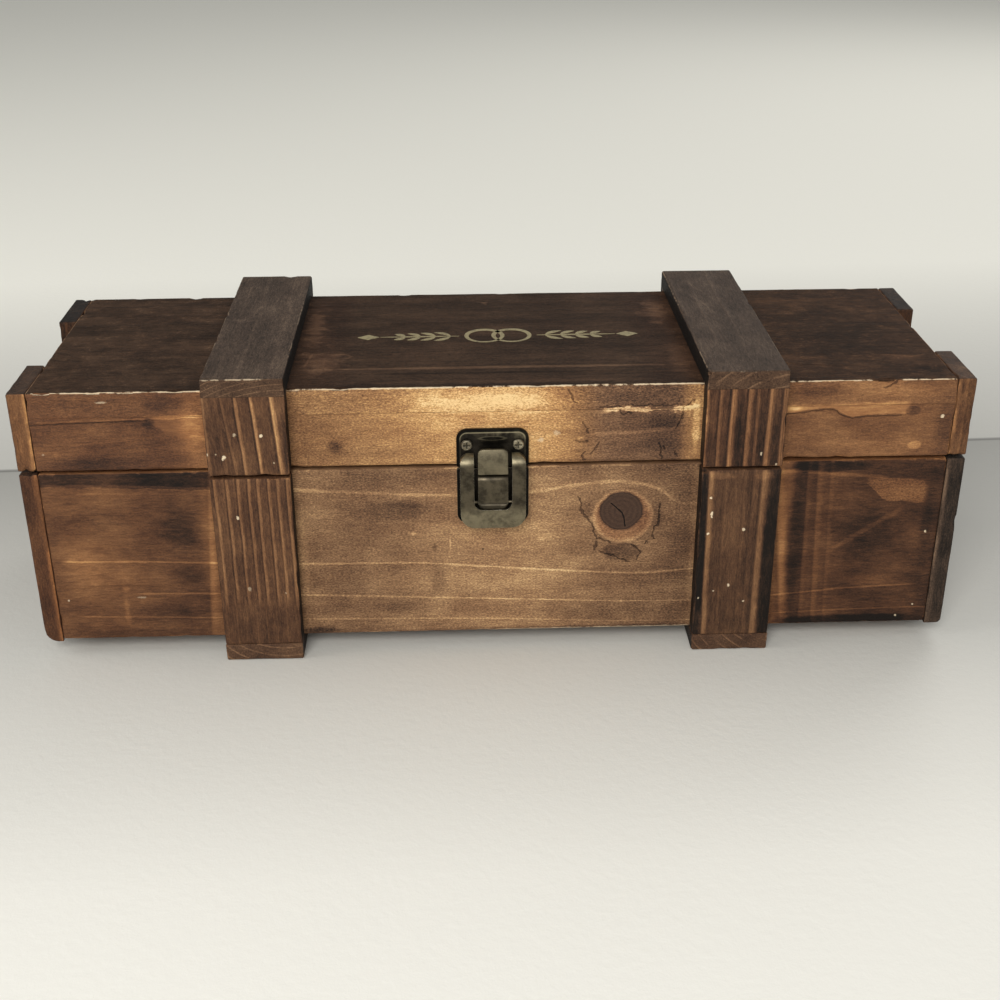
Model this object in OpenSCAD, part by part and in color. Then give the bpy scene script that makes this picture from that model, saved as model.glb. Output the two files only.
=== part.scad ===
// Wooden wine box with two wrap-round bands, end battens, a hinged lid and a draw latch.
// Millimetres, +Z up, front towards -Y. The box stands on the undersides of its two bands.

/* [Body] */
// Length of the boxed body, between the end battens
body_l = 342; // [240:1:420]
// Depth of the body, front board face to back board face
body_d = 110; // [96:1:150]
// Height of the base walls
base_h = 71.5; // [60:0.5:110]
// Height of the lid, top board included
lid_h = 31.1; // [26:0.1:60]
// Gap between base and lid at the seam
seam_gap = 1.2; // [0.4:0.1:1.5]

/* [Boards] */
// Thickness of the front, back and end boards
board_t = 10; // [9:0.5:14]
// Thickness of the top board
top_t = 10; // [6:0.5:12]
// Thickness of the floor panel
bottom_t = 6; // [4:0.5:12]
// Radius of the eased edges
edge_r = 0.9; // [0.4:0.1:1.5]

/* [Bands and battens] */
// Width of the strip stock
strip_w = 30; // [26:1:40]
// Thickness of the strip stock
strip_t = 7; // [6.5:0.5:12]
// From the end of the body to the outer edge of a band
band_inset = 64.5; // [40:0.5:80]
// How far the base battens reach below the floor
batten_drop = 1.2; // [0:0.1:3]
// Worn outer corner at the foot of the left battens
left_foot_r = 5; // [1:0.5:6]
// Worn outer corner at the foot of the right battens
right_foot_r = 2; // [1:0.5:6]

/* [Hinges] */
// Width of a hinge
hinge_w = 24; // [20:1:26]
// Height of a hinge leaf, from the axis
leaf_h = 15; // [13:0.5:20]
// Thickness of a hinge leaf
leaf_t = 1; // [0.8:0.1:1.4]
// Outer radius of the hinge knuckles
knuckle_r = 2.2; // [2:0.1:2.6]
// Radius of the hinge pin
hinge_pin_r = 1.1; // [0.8:0.1:1.2]
// Gap between the knuckles and the band behind them
knuckle_gap = 0.3; // [0.2:0.1:0.5]
// Width of the middle knuckle
middle_knuckle_w = 9; // [6:0.5:10]

/* [Latch plates] */
// Latch centre, to the right of the box centre
latch_x = -1.5; // [-20:0.5:20]
// Width of the latch plates
plate_w = 27; // [25:0.5:32]
// Thickness of the latch plates
plate_t = 1.2; // [0.8:0.1:1.4]
// Height of the plate on the lid, from the middle of the seam
keeper_h = 15.2; // [14:0.1:17]
// Height of the plate on the base
base_plate_h = 22.9; // [22.5:0.1:28]
// Corner radius of the latch plates
plate_r = 4; // [2:0.5:5]
// Width of the hook on the lid's plate
hook_w = 11.1; // [9:0.1:11.3]
// Top of the hook's lip, above the middle of the seam
lip_h = 8.9; // [6:0.1:10]
// How far the foot of the lip hangs below the plate
lip_drop = 0.5; // [0:0.1:0.8]
// How far the foot of the lip stands out
lip_out = 7.4; // [6.5:0.1:8]
// How far the lip leans back at its top
lip_lean = 1.5; // [0:0.1:2]
// Thickness of the hook
lip_t = 1.2; // [0.8:0.1:1.5]

/* [Latch crank and ring] */
// Width of the crank
crank_w = 11.2; // [10:0.1:11.4]
// Thickness of the crank's bent sheet
crank_t = 0.8; // [0.6:0.1:0.9]
// Thickness of the crank's cheeks
cheek_t = 1.2; // [0.8:0.1:1.4]
// Radius of the crank's rolled top
crank_r = 2.4; // [2.2:0.1:2.4]
// Crank pivot, outwards from the front board
crank_pin_out = 4.6; // [4.4:0.1:5]
// Crank pivot, below the seam
crank_pin_down = 3.9; // [3.6:0.1:4.6]
// Radius of the crank pin
crank_pin_r = 0.7; // [0.5:0.05:0.75]
// From the crank pivot down to the ring rivets
crank_reach = 8.5; // [8:0.1:10]
// How far the crank's tip hangs below the rivets
crank_tip = 2.4; // [1.5:0.1:3]
// Radius of the ring rivets
rivet_r = 0.6; // [0.4:0.05:0.65]
// Width of the ring
ring_w = 24.4; // [22:0.1:26]
// Thickness of the ring
ring_t = 2.4; // [2.2:0.1:3]
// Back face of the ring, outwards from the front board
ring_out = 5; // [4.8:0.1:5.1]
// Width of the ring's opening
slot_w = 14.2; // [13:0.1:15]
// Depth of the pull bar under the opening
pull_h = 7.5; // [5:0.1:9]
// Gap between the crank's tip and the pull bar
tip_gap = 0.4; // [0.3:0.1:1]
// Top of the ring's arms, above the seam
arm_up = 6.5; // [6:0.1:8]
// Outer radius of the bend at the top of the ring's arms
arm_bend_r = 4.5; // [3:0.1:4.8]
// Corner radius at the pull
pull_r = 5.5; // [3:0.5:7]

/* [Screws] */
// Radius of a screw head
screw_head_r = 2.2; // [1.6:0.05:2.3]
// Height of a screw head
screw_head_h = 0.95; // [0.7:0.05:1.2]
// Radius of a screw shank
screw_r = 1; // [0.7:0.05:1.1]
// Length of a latch screw
latch_screw_l = 7; // [5:0.5:8]
// Length of a hinge screw
hinge_screw_l = 5.5; // [4:0.5:6]
// From a latch plate's side to its screws
latch_screw_inset = 3.9; // [3.5:0.1:5]
// From a hinge's side to its screws
hinge_screw_inset = 4.5; // [3.5:0.5:6]
// From the hinge axis to its screws
hinge_screw_rise = 10; // [7:0.5:11]

/* [Fits] */
// Radial clearance of a pin that turns
pin_clear = 0.05; // [0.02:0.01:0.1]
// Radial clearance of a screw in its pilot hole
pilot_clear = 0.02; // [0:0.01:0.1]
// Side clearance between parts that turn on one pin
side_clear = 0.2; // [0.1:0.05:0.3]

/* [Hidden] */
$fn = 48;
cut = 1;

wall_color = [0.47, 0.28, 0.15];
lid_color = [0.20, 0.13, 0.10];
strip_color = [0.33, 0.20, 0.13];
metal_color = [0.36, 0.32, 0.26];

x_end = body_l / 2;
y_face = body_d / 2;
floor_z = strip_t;
seam_z = floor_z + base_h;
lid_z = seam_z + seam_gap;
lid_top = lid_z + lid_h;
frame_top = lid_top - top_t;
seam_mid = seam_z + seam_gap / 2;
band_x = x_end - band_inset - strip_w / 2;

knuckle_out = knuckle_r + knuckle_gap;
leaf_clear = sqrt(pow(knuckle_r + knuckle_gap, 2) - pow(knuckle_out - leaf_t, 2));

crank_face = crank_pin_out + crank_r;
rivet_wall = 0.4;
rivet_ring_r = rivet_r + pin_clear + rivet_wall;
rivet_out = crank_face - rivet_ring_r;
rivet_down = crank_pin_down + crank_reach;
slot_bottom = rivet_down + crank_tip + tip_gap;
ring_bottom = slot_bottom + pull_h;
arm_bend_start = arm_up - arm_bend_r;
ring_face = ring_out + ring_t;
rivet_hole = 3.2;

ear_t = 1;
ear_r = crank_r - crank_t - side_clear;
ear_x = crank_w / 2 - cheek_t - side_clear - ear_t / 2;

keeper_screw_up = keeper_h - 1.55 * plate_r;
base_screw_down = slot_bottom + pull_h / 2;

front_reach = y_face + max(strip_t, ring_face, lip_out);
back_reach = y_face + strip_t + knuckle_out + knuckle_r;
home_y = (front_reach - back_reach) / 2;

// ---- helpers ----

// Every piece is drawn about the middle of the body and moved so that the whole box is centred
module home() translate([0, home_y, 0]) children();

// Rectangle with its own corner radius at each corner: lower left, lower right, upper right, upper left
module outline(w, h, radii) {
    difference() {
        square([w, h]);
        corner_cut(radii[0]);
        translate([w, 0]) rotate(90) corner_cut(radii[1]);
        translate([w, h]) rotate(180) corner_cut(radii[2]);
        translate([0, h]) rotate(270) corner_cut(radii[3]);
    }
}

module corner_cut(r) {
    difference() {
        translate([-cut, -cut]) square(r + cut);
        translate([r, r]) circle(r);
    }
}

function all_round(r) = [r, r, r, r];

// Board between two opposite corners, with every edge eased
module board(lo, hi) {
    size = hi - lo;
    eased = all_round(edge_r);
    translate(lo) intersection() {
        linear_extrude(size.z) outline(size.x, size.y, eased);
        translate([0, size.y, 0]) rotate([90, 0, 0]) linear_extrude(size.y) outline(size.x, size.z, eased);
        rotate([90, 0, 90]) linear_extrude(size.x) outline(size.y, size.z, eased);
    }
}

// Front of the latch: local X across, -Y outwards from the front board, Z up from the seam
module at_latch() home() translate([latch_x, -y_face, seam_mid]) children();

// Back of a band: the same local axes, with -Y outwards from the band's back face
module at_hinge(side) {
    home() translate([side * band_x, y_face + strip_t, seam_mid]) mirror([0, 1, 0]) children();
}

// Extrudes a front outline outwards, from out0 over a thickness
module outwards(out0, thickness) {
    translate([0, -out0, 0]) rotate([90, 0, 0]) linear_extrude(thickness) children();
}

// Extrudes a side outline (outwards, up) across a width that is centred on X
module across(width) {
    translate([width / 2, 0, 0]) rotate([90, 0, -90]) linear_extrude(width) children();
}

// Bar along X, centred, at a place given outwards and up
module rod(r, width, out, up) {
    translate([-width / 2, -out, up]) rotate([0, 90, 0]) cylinder(r = r, h = width);
}

// Screw that enters the wood; its head sits on a face that stands out by seat
module screw(seat, length) {
    slot_long = 1.3 * screw_head_r;
    slot_wide = 0.3 * screw_head_r;
    slot_deep = 0.6 * screw_head_h;
    tip = 1.5 * screw_r;
    rim = 0.4 * screw_head_h;
    crown = 0.8 * screw_head_r;
    translate([0, -seat, 0]) rotate([90, 0, 0]) difference() {
        rotate_extrude() polygon([
            [0, -length], [screw_r, tip - length], [screw_r, 0], [screw_head_r, 0],
            [screw_head_r, rim], [crown, screw_head_h], [0, screw_head_h]
        ]);
        for (turn = [0, 90])
            translate([0, 0, screw_head_h]) rotate(turn) cube([slot_long, slot_wide, 2 * slot_deep], center = true);
    }
}

// Pilot hole for a screw, drilled from a face that stands out by seat
module pilot(seat, length) {
    translate([0, -seat - cut, 0]) rotate([-90, 0, 0])
        cylinder(r = screw_r + pilot_clear, h = length + cut + 0.3);
}

module keeper_screw_spots() {
    for (side = [-1, 1])
        translate([side * (plate_w / 2 - latch_screw_inset), 0, keeper_screw_up]) children();
}

module base_screw_spots() {
    for (side = [-1, 1])
        translate([side * (plate_w / 2 - latch_screw_inset), 0, -base_screw_down]) children();
}

module hinge_screw_spots(way) {
    for (side = [-1, 1])
        translate([side * (hinge_w / 2 - hinge_screw_inset), 0, way * hinge_screw_rise]) children();
}

// ---- wooden pieces ----

module base_front_board() {
    color(wall_color) difference() {
        home() board([-x_end, -y_face, floor_z], [x_end, board_t - y_face, seam_z]);
        at_latch() base_screw_spots() pilot(plate_t, latch_screw_l);
    }
}

module base_back_board() {
    color(wall_color) home() board([-x_end, y_face - board_t, floor_z], [x_end, y_face, seam_z]);
}

module end_board(side, low, high) {
    inner = min(side * x_end, side * (x_end - board_t));
    color(wall_color) home()
        board([inner, board_t - y_face, low], [inner + board_t, y_face - board_t, high]);
}

module base_bottom_board() {
    color(wall_color) home()
        board([board_t - x_end, board_t - y_face, floor_z],
              [x_end - board_t, y_face - board_t, floor_z + bottom_t]);
}

module lid_front_board() {
    color(wall_color) difference() {
        home() board([-x_end, -y_face, lid_z], [x_end, board_t - y_face, frame_top]);
        at_latch() keeper_screw_spots() pilot(plate_t, latch_screw_l);
    }
}

module lid_back_board() {
    color(wall_color) home() board([-x_end, y_face - board_t, lid_z], [x_end, y_face, frame_top]);
}

module lid_top_board() {
    color(lid_color) home() board([-x_end, -y_face, frame_top], [x_end, y_face, lid_top]);
}

// Upright batten on an end, flush with the front or back board
module batten(side, depth_side, low, high, foot_r) {
    outer = side > 0 ? [edge_r, foot_r, edge_r, edge_r] : [foot_r, edge_r, edge_r, edge_r];
    x0 = side > 0 ? x_end : -x_end - strip_t;
    y0 = depth_side > 0 ? y_face - strip_w : -y_face;
    color(strip_color) home() intersection() {
        board([x0, y0, low], [x0 + strip_t, y0 + strip_w, high]);
        translate([x0, y0 + strip_w, low]) rotate([90, 0, 0])
            linear_extrude(strip_w) outline(strip_t, high - low, outer);
    }
}

module base_batten(side, depth_side) {
    batten(side, depth_side, floor_z - batten_drop, seam_z, side > 0 ? right_foot_r : left_foot_r);
}

module lid_batten(side, depth_side) batten(side, depth_side, lid_z, lid_top, edge_r);

// Upright piece of a band, on the front or the back
module upright_strip(side, depth_side, low, high) {
    x0 = side * band_x - strip_w / 2;
    y0 = depth_side > 0 ? y_face : -y_face - strip_t;
    color(strip_color) difference() {
        home() board([x0, y0, low], [x0 + strip_w, y0 + strip_t, high]);
        if (depth_side > 0)
            for (way = [-1, 1]) at_hinge(side) hinge_screw_spots(way) pilot(leaf_t, hinge_screw_l);
    }
}

// Piece of a band that lies across the top or the bottom
module cross_strip(side, low) {
    x0 = side * band_x - strip_w / 2;
    color(strip_color) home()
        board([x0, -y_face - strip_t, low], [x0 + strip_w, y_face + strip_t, low + strip_t]);
}

// ---- hinges ----

// Leaf of a hinge: way is 1 for the leaf on the lid, -1 for the one on the base
module hinge_leaf(side, way) {
    outer_w = (hinge_w - middle_knuckle_w) / 2 - side_clear;
    middle = way > 0;
    color(metal_color) at_hinge(side) difference() {
        union() {
            // plate, cut back where the other leaf's knuckles turn
            outwards(0, leaf_t) leaf_outline(way, middle, outer_w);
            if (middle) across(middle_knuckle_w) knuckle_outline(way);
            else for (end = [-1, 1])
                translate([end * (hinge_w - outer_w) / 2, 0, 0]) across(outer_w) knuckle_outline(way);
        }
        rod(hinge_pin_r + pin_clear, hinge_w + cut, knuckle_out, 0);
        hinge_screw_spots(way) pilot(leaf_t, leaf_t);
    }
}

module leaf_outline(way, middle, outer_w) {
    r = 1.5;
    mirror([0, way > 0 ? 0 : 1]) difference() {
        translate([-hinge_w / 2, 0]) outline(hinge_w, leaf_h, [0.01, 0.01, r, r]);
        if (middle) for (end = [-1, 1])
            translate([end * hinge_w / 2 - (outer_w + side_clear) * (end + 1) / 2, -cut])
                square([outer_w + side_clear, leaf_clear + cut]);
        else translate([-middle_knuckle_w / 2 - side_clear, -cut])
            square([middle_knuckle_w + 2 * side_clear, leaf_clear + cut]);
    }
}

module knuckle_outline(way) {
    translate([knuckle_out, 0]) circle(knuckle_r);
    mirror([0, way > 0 ? 0 : 1]) square([leaf_t, knuckle_r]);
    mirror([0, way > 0 ? 0 : 1]) translate([leaf_t / 2, 0]) square([knuckle_out - leaf_t / 2, knuckle_r * 0.8]);
}

module hinge_pin(side) {
    color(metal_color) at_hinge(side) rod(hinge_pin_r, hinge_w, knuckle_out, 0);
}

module hinge_screws(way) {
    color(metal_color) for (side = [-1, 1])
        at_hinge(side) hinge_screw_spots(way) screw(leaf_t, hinge_screw_l);
}

// ---- latch ----

// The lid's plate, whose lower edge is bent out and up into an open hook
module latch_keeper() {
    color(metal_color) at_latch() {
        difference() {
            outwards(0, plate_t) translate([-plate_w / 2, 0])
                outline(plate_w, keeper_h, [edge_r, edge_r, plate_r, plate_r]);
            keeper_screw_spots() pilot(plate_t, plate_t);
        }
        intersection() {
            across(hook_w) polygon([
                [plate_t / 2, 0], [lip_out, -lip_drop], [lip_out - lip_lean, lip_h],
                [lip_out - lip_lean - lip_t, lip_h], [lip_out - lip_t, lip_t - lip_drop],
                [plate_t / 2, lip_t]
            ]);
            outwards(0, lip_out + cut) translate([-hook_w / 2, -lip_drop])
                outline(hook_w, lip_h + lip_drop, [0.3, 0.3, 1.8, 1.8]);
        }
    }
}

module latch_keeper_screws() {
    color(metal_color) at_latch() keeper_screw_spots() screw(plate_t, latch_screw_l);
}

// The base's plate, with two ears that carry the crank pin
module latch_base_plate() {
    ear_root = crank_pin_down + 2.2;
    color(metal_color) at_latch() difference() {
        union() {
            outwards(0, plate_t) translate([-plate_w / 2, -seam_gap / 2 - base_plate_h])
                outline(plate_w, base_plate_h, [plate_r, plate_r, edge_r, edge_r]);
            for (side = [-1, 1]) translate([side * ear_x, 0, 0]) across(ear_t) {
                translate([crank_pin_out, -crank_pin_down]) circle(ear_r);
                polygon([
                    [crank_pin_out - ear_r, -crank_pin_down],
                    [plate_t / 2, -ear_root], [plate_t / 2, -ear_root - 5],
                    [crank_pin_out + ear_r * 0.5, -ear_r * 0.866 - crank_pin_down]
                ]);
            }
        }
        rod(crank_pin_r + pin_clear, crank_w, crank_pin_out, -crank_pin_down);
        base_screw_spots() pilot(plate_t, plate_t);
    }
}

module latch_base_screws() {
    color(metal_color) at_latch() base_screw_spots() screw(plate_t, latch_screw_l);
}

module latch_crank_pin() {
    color(metal_color) at_latch() rod(crank_pin_r, crank_w - 2 * side_clear, crank_pin_out, -crank_pin_down);
}

// Side outline of a link: two round ends joined by their outer tangents
module link_outline(a, ra, b, rb) {
    run = b - a;
    reach = norm(run);
    along = run / reach;
    off = [-along.y, along.x];
    s = (ra - rb) / reach;
    c = sqrt(1 - s * s);
    translate(a) circle(ra);
    translate(b) circle(rb);
    polygon([
        a + ra * (s * along + c * off), b + rb * (s * along + c * off),
        b + rb * (s * along - c * off), a + ra * (s * along - c * off)
    ]);
}

// The crank: a sheet rolled over its pin, with a cheek at each side
module latch_crank() {
    pivot = [crank_pin_out, -crank_pin_down];
    rivet = [rivet_out, -rivet_down];
    tip = rivet_down + crank_tip;
    color(metal_color) at_latch() difference() {
        union() {
            for (side = [-1, 1]) translate([side * (crank_w - cheek_t) / 2, 0, 0])
                across(cheek_t) link_outline(pivot, crank_r, rivet, rivet_ring_r);
            // rolled top, between the pivot's level and the sheet's back edge
            across(crank_w) intersection() {
                difference() {
                    translate(pivot) circle(crank_r);
                    translate(pivot) circle(crank_r - crank_t);
                }
                translate(pivot) square(crank_r);
            }
            // front sheet, with rounded lower corners
            outwards(crank_face - crank_t, crank_t) translate([-crank_w / 2, -tip])
                outline(crank_w, tip - crank_pin_down, [2.6, 2.6, 0.01, 0.01]);
        }
        rod(crank_pin_r + pin_clear, crank_w + cut, crank_pin_out, -crank_pin_down);
        rod(rivet_r + pin_clear, crank_w + cut, rivet_out, -rivet_down);
    }
}

// The ring: a U-shaped pull whose arms bend back over the seam, each side of the hook
module latch_ring() {
    arm_w = (ring_w - slot_w) / 2;
    color(metal_color) at_latch() difference() {
        intersection() {
            outwards(0, ring_face + cut) difference() {
                translate([-ring_w / 2, -ring_bottom])
                    outline(ring_w, ring_bottom + arm_up, [pull_r, pull_r, 3.2, 3.2]);
                translate([-slot_w / 2, -slot_bottom])
                    outline(slot_w, slot_bottom + arm_up + cut, [3.2, 3.2, 0.01, 0.01]);
            }
            across(ring_w + cut) {
                translate([ring_out, -ring_bottom]) square([ring_t, ring_bottom + arm_bend_start]);
                intersection() {
                    translate([ring_face - arm_bend_r, arm_bend_start]) difference() {
                        circle(arm_bend_r);
                        circle(arm_bend_r - ring_t);
                    }
                    translate([ring_face - arm_bend_r, arm_bend_start]) square(arm_bend_r);
                }
            }
        }
        for (side = [-1, 1]) translate([side * (slot_w / 2 + rivet_hole / 2 - cut / 2), 0, 0])
            rod(rivet_r + pilot_clear, rivet_hole + cut, rivet_out, -rivet_down);
    }
}

module latch_ring_pins() {
    inner = crank_w / 2 - cheek_t;
    outer = slot_w / 2 + rivet_hole - side_clear;
    color(metal_color) at_latch() for (side = [-1, 1])
        translate([side * (inner + outer) / 2, 0, 0]) rod(rivet_r, outer - inner, rivet_out, -rivet_down);
}

// ---- one line for each piece ----

base_front_board();
base_back_board();
end_board(-1, floor_z, seam_z);  // base_left_end
end_board(1, floor_z, seam_z);  // base_right_end
base_bottom_board();
base_batten(-1, -1);  // base_left_front_batten
base_batten(-1, 1);  // base_left_back_batten
base_batten(1, -1);  // base_right_front_batten
base_batten(1, 1);  // base_right_back_batten
upright_strip(-1, -1, floor_z, seam_z);  // base_left_front_strip
upright_strip(-1, 1, floor_z, seam_z);  // base_left_back_strip
cross_strip(-1, 0);  // left_bottom_strip
upright_strip(1, -1, floor_z, seam_z);  // base_right_front_strip
upright_strip(1, 1, floor_z, seam_z);  // base_right_back_strip
cross_strip(1, 0);  // right_bottom_strip
lid_front_board();
lid_back_board();
end_board(-1, lid_z, frame_top);  // lid_left_end
end_board(1, lid_z, frame_top);  // lid_right_end
lid_top_board();
lid_batten(-1, -1);  // lid_left_front_batten
lid_batten(-1, 1);  // lid_left_back_batten
lid_batten(1, -1);  // lid_right_front_batten
lid_batten(1, 1);  // lid_right_back_batten
upright_strip(-1, -1, lid_z, lid_top);  // lid_left_front_strip
upright_strip(-1, 1, lid_z, lid_top);  // lid_left_back_strip
cross_strip(-1, lid_top);  // left_top_strip
upright_strip(1, -1, lid_z, lid_top);  // lid_right_front_strip
upright_strip(1, 1, lid_z, lid_top);  // lid_right_back_strip
cross_strip(1, lid_top);  // right_top_strip
hinge_leaf(-1, -1);  // hinge_left_base_leaf
hinge_leaf(1, -1);  // hinge_right_base_leaf
hinge_leaf(-1, 1);  // hinge_left_lid_leaf
hinge_leaf(1, 1);  // hinge_right_lid_leaf
hinge_pin(-1);  // hinge_left_pin
hinge_pin(1);  // hinge_right_pin
hinge_screws(-1);  // hinge_base_screws
hinge_screws(1);  // hinge_lid_screws
latch_keeper();
latch_keeper_screws();
latch_base_plate();
latch_base_screws();
latch_crank_pin();
latch_crank();
latch_ring();
latch_ring_pins();
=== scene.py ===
"""Looks of a long wooden box with two wrap-round bands, end battens and a draw latch.

Each wooden piece is built again as a worn plank inside its CAD outline: the eased, chipped
edges are in the mesh, and the growth rings, scorching and wear are in the materials.
The metal pieces are copies of their CAD shapes with softened edges.
Places on the box are in millimetres.
"""

import inspect
import math

import bmesh
import bpy
import numpy as np
from mathutils import Matrix, Vector, noise


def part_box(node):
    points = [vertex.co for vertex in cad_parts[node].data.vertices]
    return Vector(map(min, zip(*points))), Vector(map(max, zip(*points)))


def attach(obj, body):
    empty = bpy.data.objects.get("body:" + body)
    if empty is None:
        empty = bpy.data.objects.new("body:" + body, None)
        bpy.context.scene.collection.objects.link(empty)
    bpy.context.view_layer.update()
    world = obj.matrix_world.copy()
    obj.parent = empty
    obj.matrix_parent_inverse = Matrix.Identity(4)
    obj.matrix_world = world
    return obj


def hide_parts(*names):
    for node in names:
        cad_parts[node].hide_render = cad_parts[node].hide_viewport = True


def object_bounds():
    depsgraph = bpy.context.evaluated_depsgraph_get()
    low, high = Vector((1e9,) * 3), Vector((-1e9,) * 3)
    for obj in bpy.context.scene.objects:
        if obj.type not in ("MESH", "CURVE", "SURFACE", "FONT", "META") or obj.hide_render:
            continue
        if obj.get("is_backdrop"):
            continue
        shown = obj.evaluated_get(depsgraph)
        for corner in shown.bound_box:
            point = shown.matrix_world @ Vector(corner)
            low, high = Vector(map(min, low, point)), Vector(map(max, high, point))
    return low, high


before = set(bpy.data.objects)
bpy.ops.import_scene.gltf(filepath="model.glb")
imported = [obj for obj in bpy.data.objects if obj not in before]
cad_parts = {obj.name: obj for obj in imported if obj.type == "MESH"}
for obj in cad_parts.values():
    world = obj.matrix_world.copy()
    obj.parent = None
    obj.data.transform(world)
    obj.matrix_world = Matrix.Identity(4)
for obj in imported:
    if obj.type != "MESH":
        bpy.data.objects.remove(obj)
cad_low, cad_high = (list(corner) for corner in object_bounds())
MM = 0.001
TOP_FACE = 110.8
LATCH_X = -1.5
ORIGIN = (0.0, 0.0, 0.0)


def srgb(red, green, blue):
    """Linear colour of an 8-bit one."""
    shares = [value / 255 for value in (red, green, blue)]
    return tuple(s / 12.92 if s <= 0.04045 else ((s + 0.055) / 1.055) ** 2.4 for s in shares) + (1.0,)


# ---- shader nodes, written as arithmetic ----


class Signal:
    """What a node sends on. A product waits, so that adding to it takes no second node."""

    def __init__(self, made, factors=None):
        self.made, self.factors = made, factors
        self.tree = factors[0].tree if factors else made.id_data

    @property
    def socket(self):
        if self.made is None:
            self.made = calc("MULTIPLY", *self.factors).made
        return self.made

    def __mul__(self, other):
        return Signal(None, (self, other))

    def __add__(self, other):
        for waiting, rest in ((self, other), (other, self)):
            if isinstance(waiting, Signal) and waiting.made is None:
                return calc("MULTIPLY_ADD", *waiting.factors, rest)
        return calc("ADD", self, other)

    def __sub__(self, other):
        return calc("SUBTRACT", self, other)

    def __rsub__(self, other):
        return calc("SUBTRACT", other, self)

    def __truediv__(self, other):
        return calc("DIVIDE", self, other)

    __rmul__, __radd__ = __mul__, __add__


def feed(socket, value):
    """Links a signal to a socket, or sets the socket to a number, vector or colour."""
    if isinstance(value, Signal):
        value.tree.links.new(value.socket, socket)
    else:
        socket.default_value = value


def add(kind, inputs, tree=None, **settings):
    """One shader node, beside the nodes that feed it. inputs go by socket name or number."""
    tree = tree or next(value.tree for value in inputs.values() if isinstance(value, Signal))
    made = tree.nodes.new("ShaderNode" + kind)
    for name, value in settings.items():
        setattr(made, name, value)
    for name, value in inputs.items():
        feed(made.inputs[name], value)
    return made


def signal(kind, inputs, output=0, **settings):
    return Signal(add(kind, inputs, **settings).outputs[output])


def calc(operation, *values, clamp=False):
    return signal("Math", dict(enumerate(values)), operation=operation, use_clamp=clamp)


def vec(operation, *values):
    output = "Value" if operation in ("LENGTH", "DISTANCE", "DOT_PRODUCT") else "Vector"
    return signal("VectorMath", dict(enumerate(values)), output, operation=operation)


def scaled(vector, by):
    return vec("MULTIPLY", vector, by)


def stretched(vector, by):
    """A vector times one number or signal."""
    return signal("VectorMath", {0: vector, "Scale": by}, "Vector", operation="SCALE")


def axes(vector):
    return [Signal(socket) for socket in add("SeparateXYZ", {0: vector}).outputs]


def attribute(tree, name):
    return signal("Attribute", {}, "Vector", tree=tree, attribute_name=name)


def line_map(value, start, end, low=0.0, high=1.0, **settings):
    """Straight change from low to high while value goes from start to end, and beyond."""
    inputs = {"Value": value, "From Min": start, "From Max": end, "To Min": low, "To Max": high}
    return signal("MapRange", inputs, clamp=False, **settings)


def step(value, start, end, low=0.0, high=1.0):
    """Smooth change from low to high while value goes from start to end."""
    return line_map(value, start, end, low, high, interpolation_type="SMOOTHSTEP")


def fall(value, start, end):
    return step(value, start, end, 1.0, 0.0)


def cloud(vector, scale=1.0, detail=2.0, rough=0.5, output="Fac"):
    """Noise about 0.5. scale is one number, or one for each axis."""
    if isinstance(scale, tuple):
        vector, scale = scaled(vector, scale), 1.0
    inputs = {"Vector": vector, "Scale": scale, "Detail": detail, "Roughness": rough}
    return signal("TexNoise", inputs, output)


def mix(share, first, second):
    """A value between two values."""
    return signal("Mix", {"Factor": share, 2: first, 3: second})


def blend(share, first, second, kind="MIX"):
    """A colour between two colours."""
    inputs = {"Factor": share, "A": first, "B": second}
    tree = next(value.tree for value in inputs.values() if isinstance(value, Signal))
    made = add("Mix", {}, tree, data_type="RGBA", blend_type=kind)
    for name, value in inputs.items():
        feed(next(s for s in made.inputs if s.name == name and s.enabled), value)
    return Signal(next(s for s in made.outputs if s.enabled))


def ramp(value, stops):
    """Colour ramp from (place, colour) stops."""
    made = add("ValToRGB", {0: value})
    elements = made.color_ramp.elements
    while len(elements) < len(stops):
        elements.new(0.5)
    for element, (place, colour) in zip(elements, stops):
        element.position = place
        element.color = colour
    return Signal(made.outputs["Color"])


def level_curve(value, points, low, high):
    """A height that follows points (x, height) while value goes along x."""
    first, last = points[0][0], points[-1][0]
    made = add("FloatCurve", {"Value": line_map(value, first, last)})
    curve = made.mapping.curves[0]
    for number, (x, height) in enumerate(points):
        spot = ((x - first) / (last - first), (height - low) / (high - low))
        if number in (0, len(points) - 1):
            curve.points[0 if number == 0 else len(curve.points) - 1].location = spot
        else:
            curve.points.new(*spot)
    made.mapping.update()
    return line_map(Signal(made.outputs[0]), 0.0, 1.0, low, high)


def bumped(height, distance, strength=1.0):
    return signal("Bump", {"Height": height, "Distance": distance, "Strength": strength})


def new_finish(name):
    """An empty material, and the place on the box in metres."""
    material = bpy.data.materials.new(name)
    material.use_nodes = True
    material.node_tree.nodes.clear()
    return material, signal("TexCoord", {}, "Object", tree=material.node_tree)


def shade(material, inputs):
    """Ends a material in one plain shader."""
    shader = add("BsdfPrincipled", inputs)
    output = material.node_tree.nodes.new("ShaderNodeOutputMaterial")
    material.node_tree.links.new(shader.outputs[0], output.inputs[0])
    return material


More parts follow.
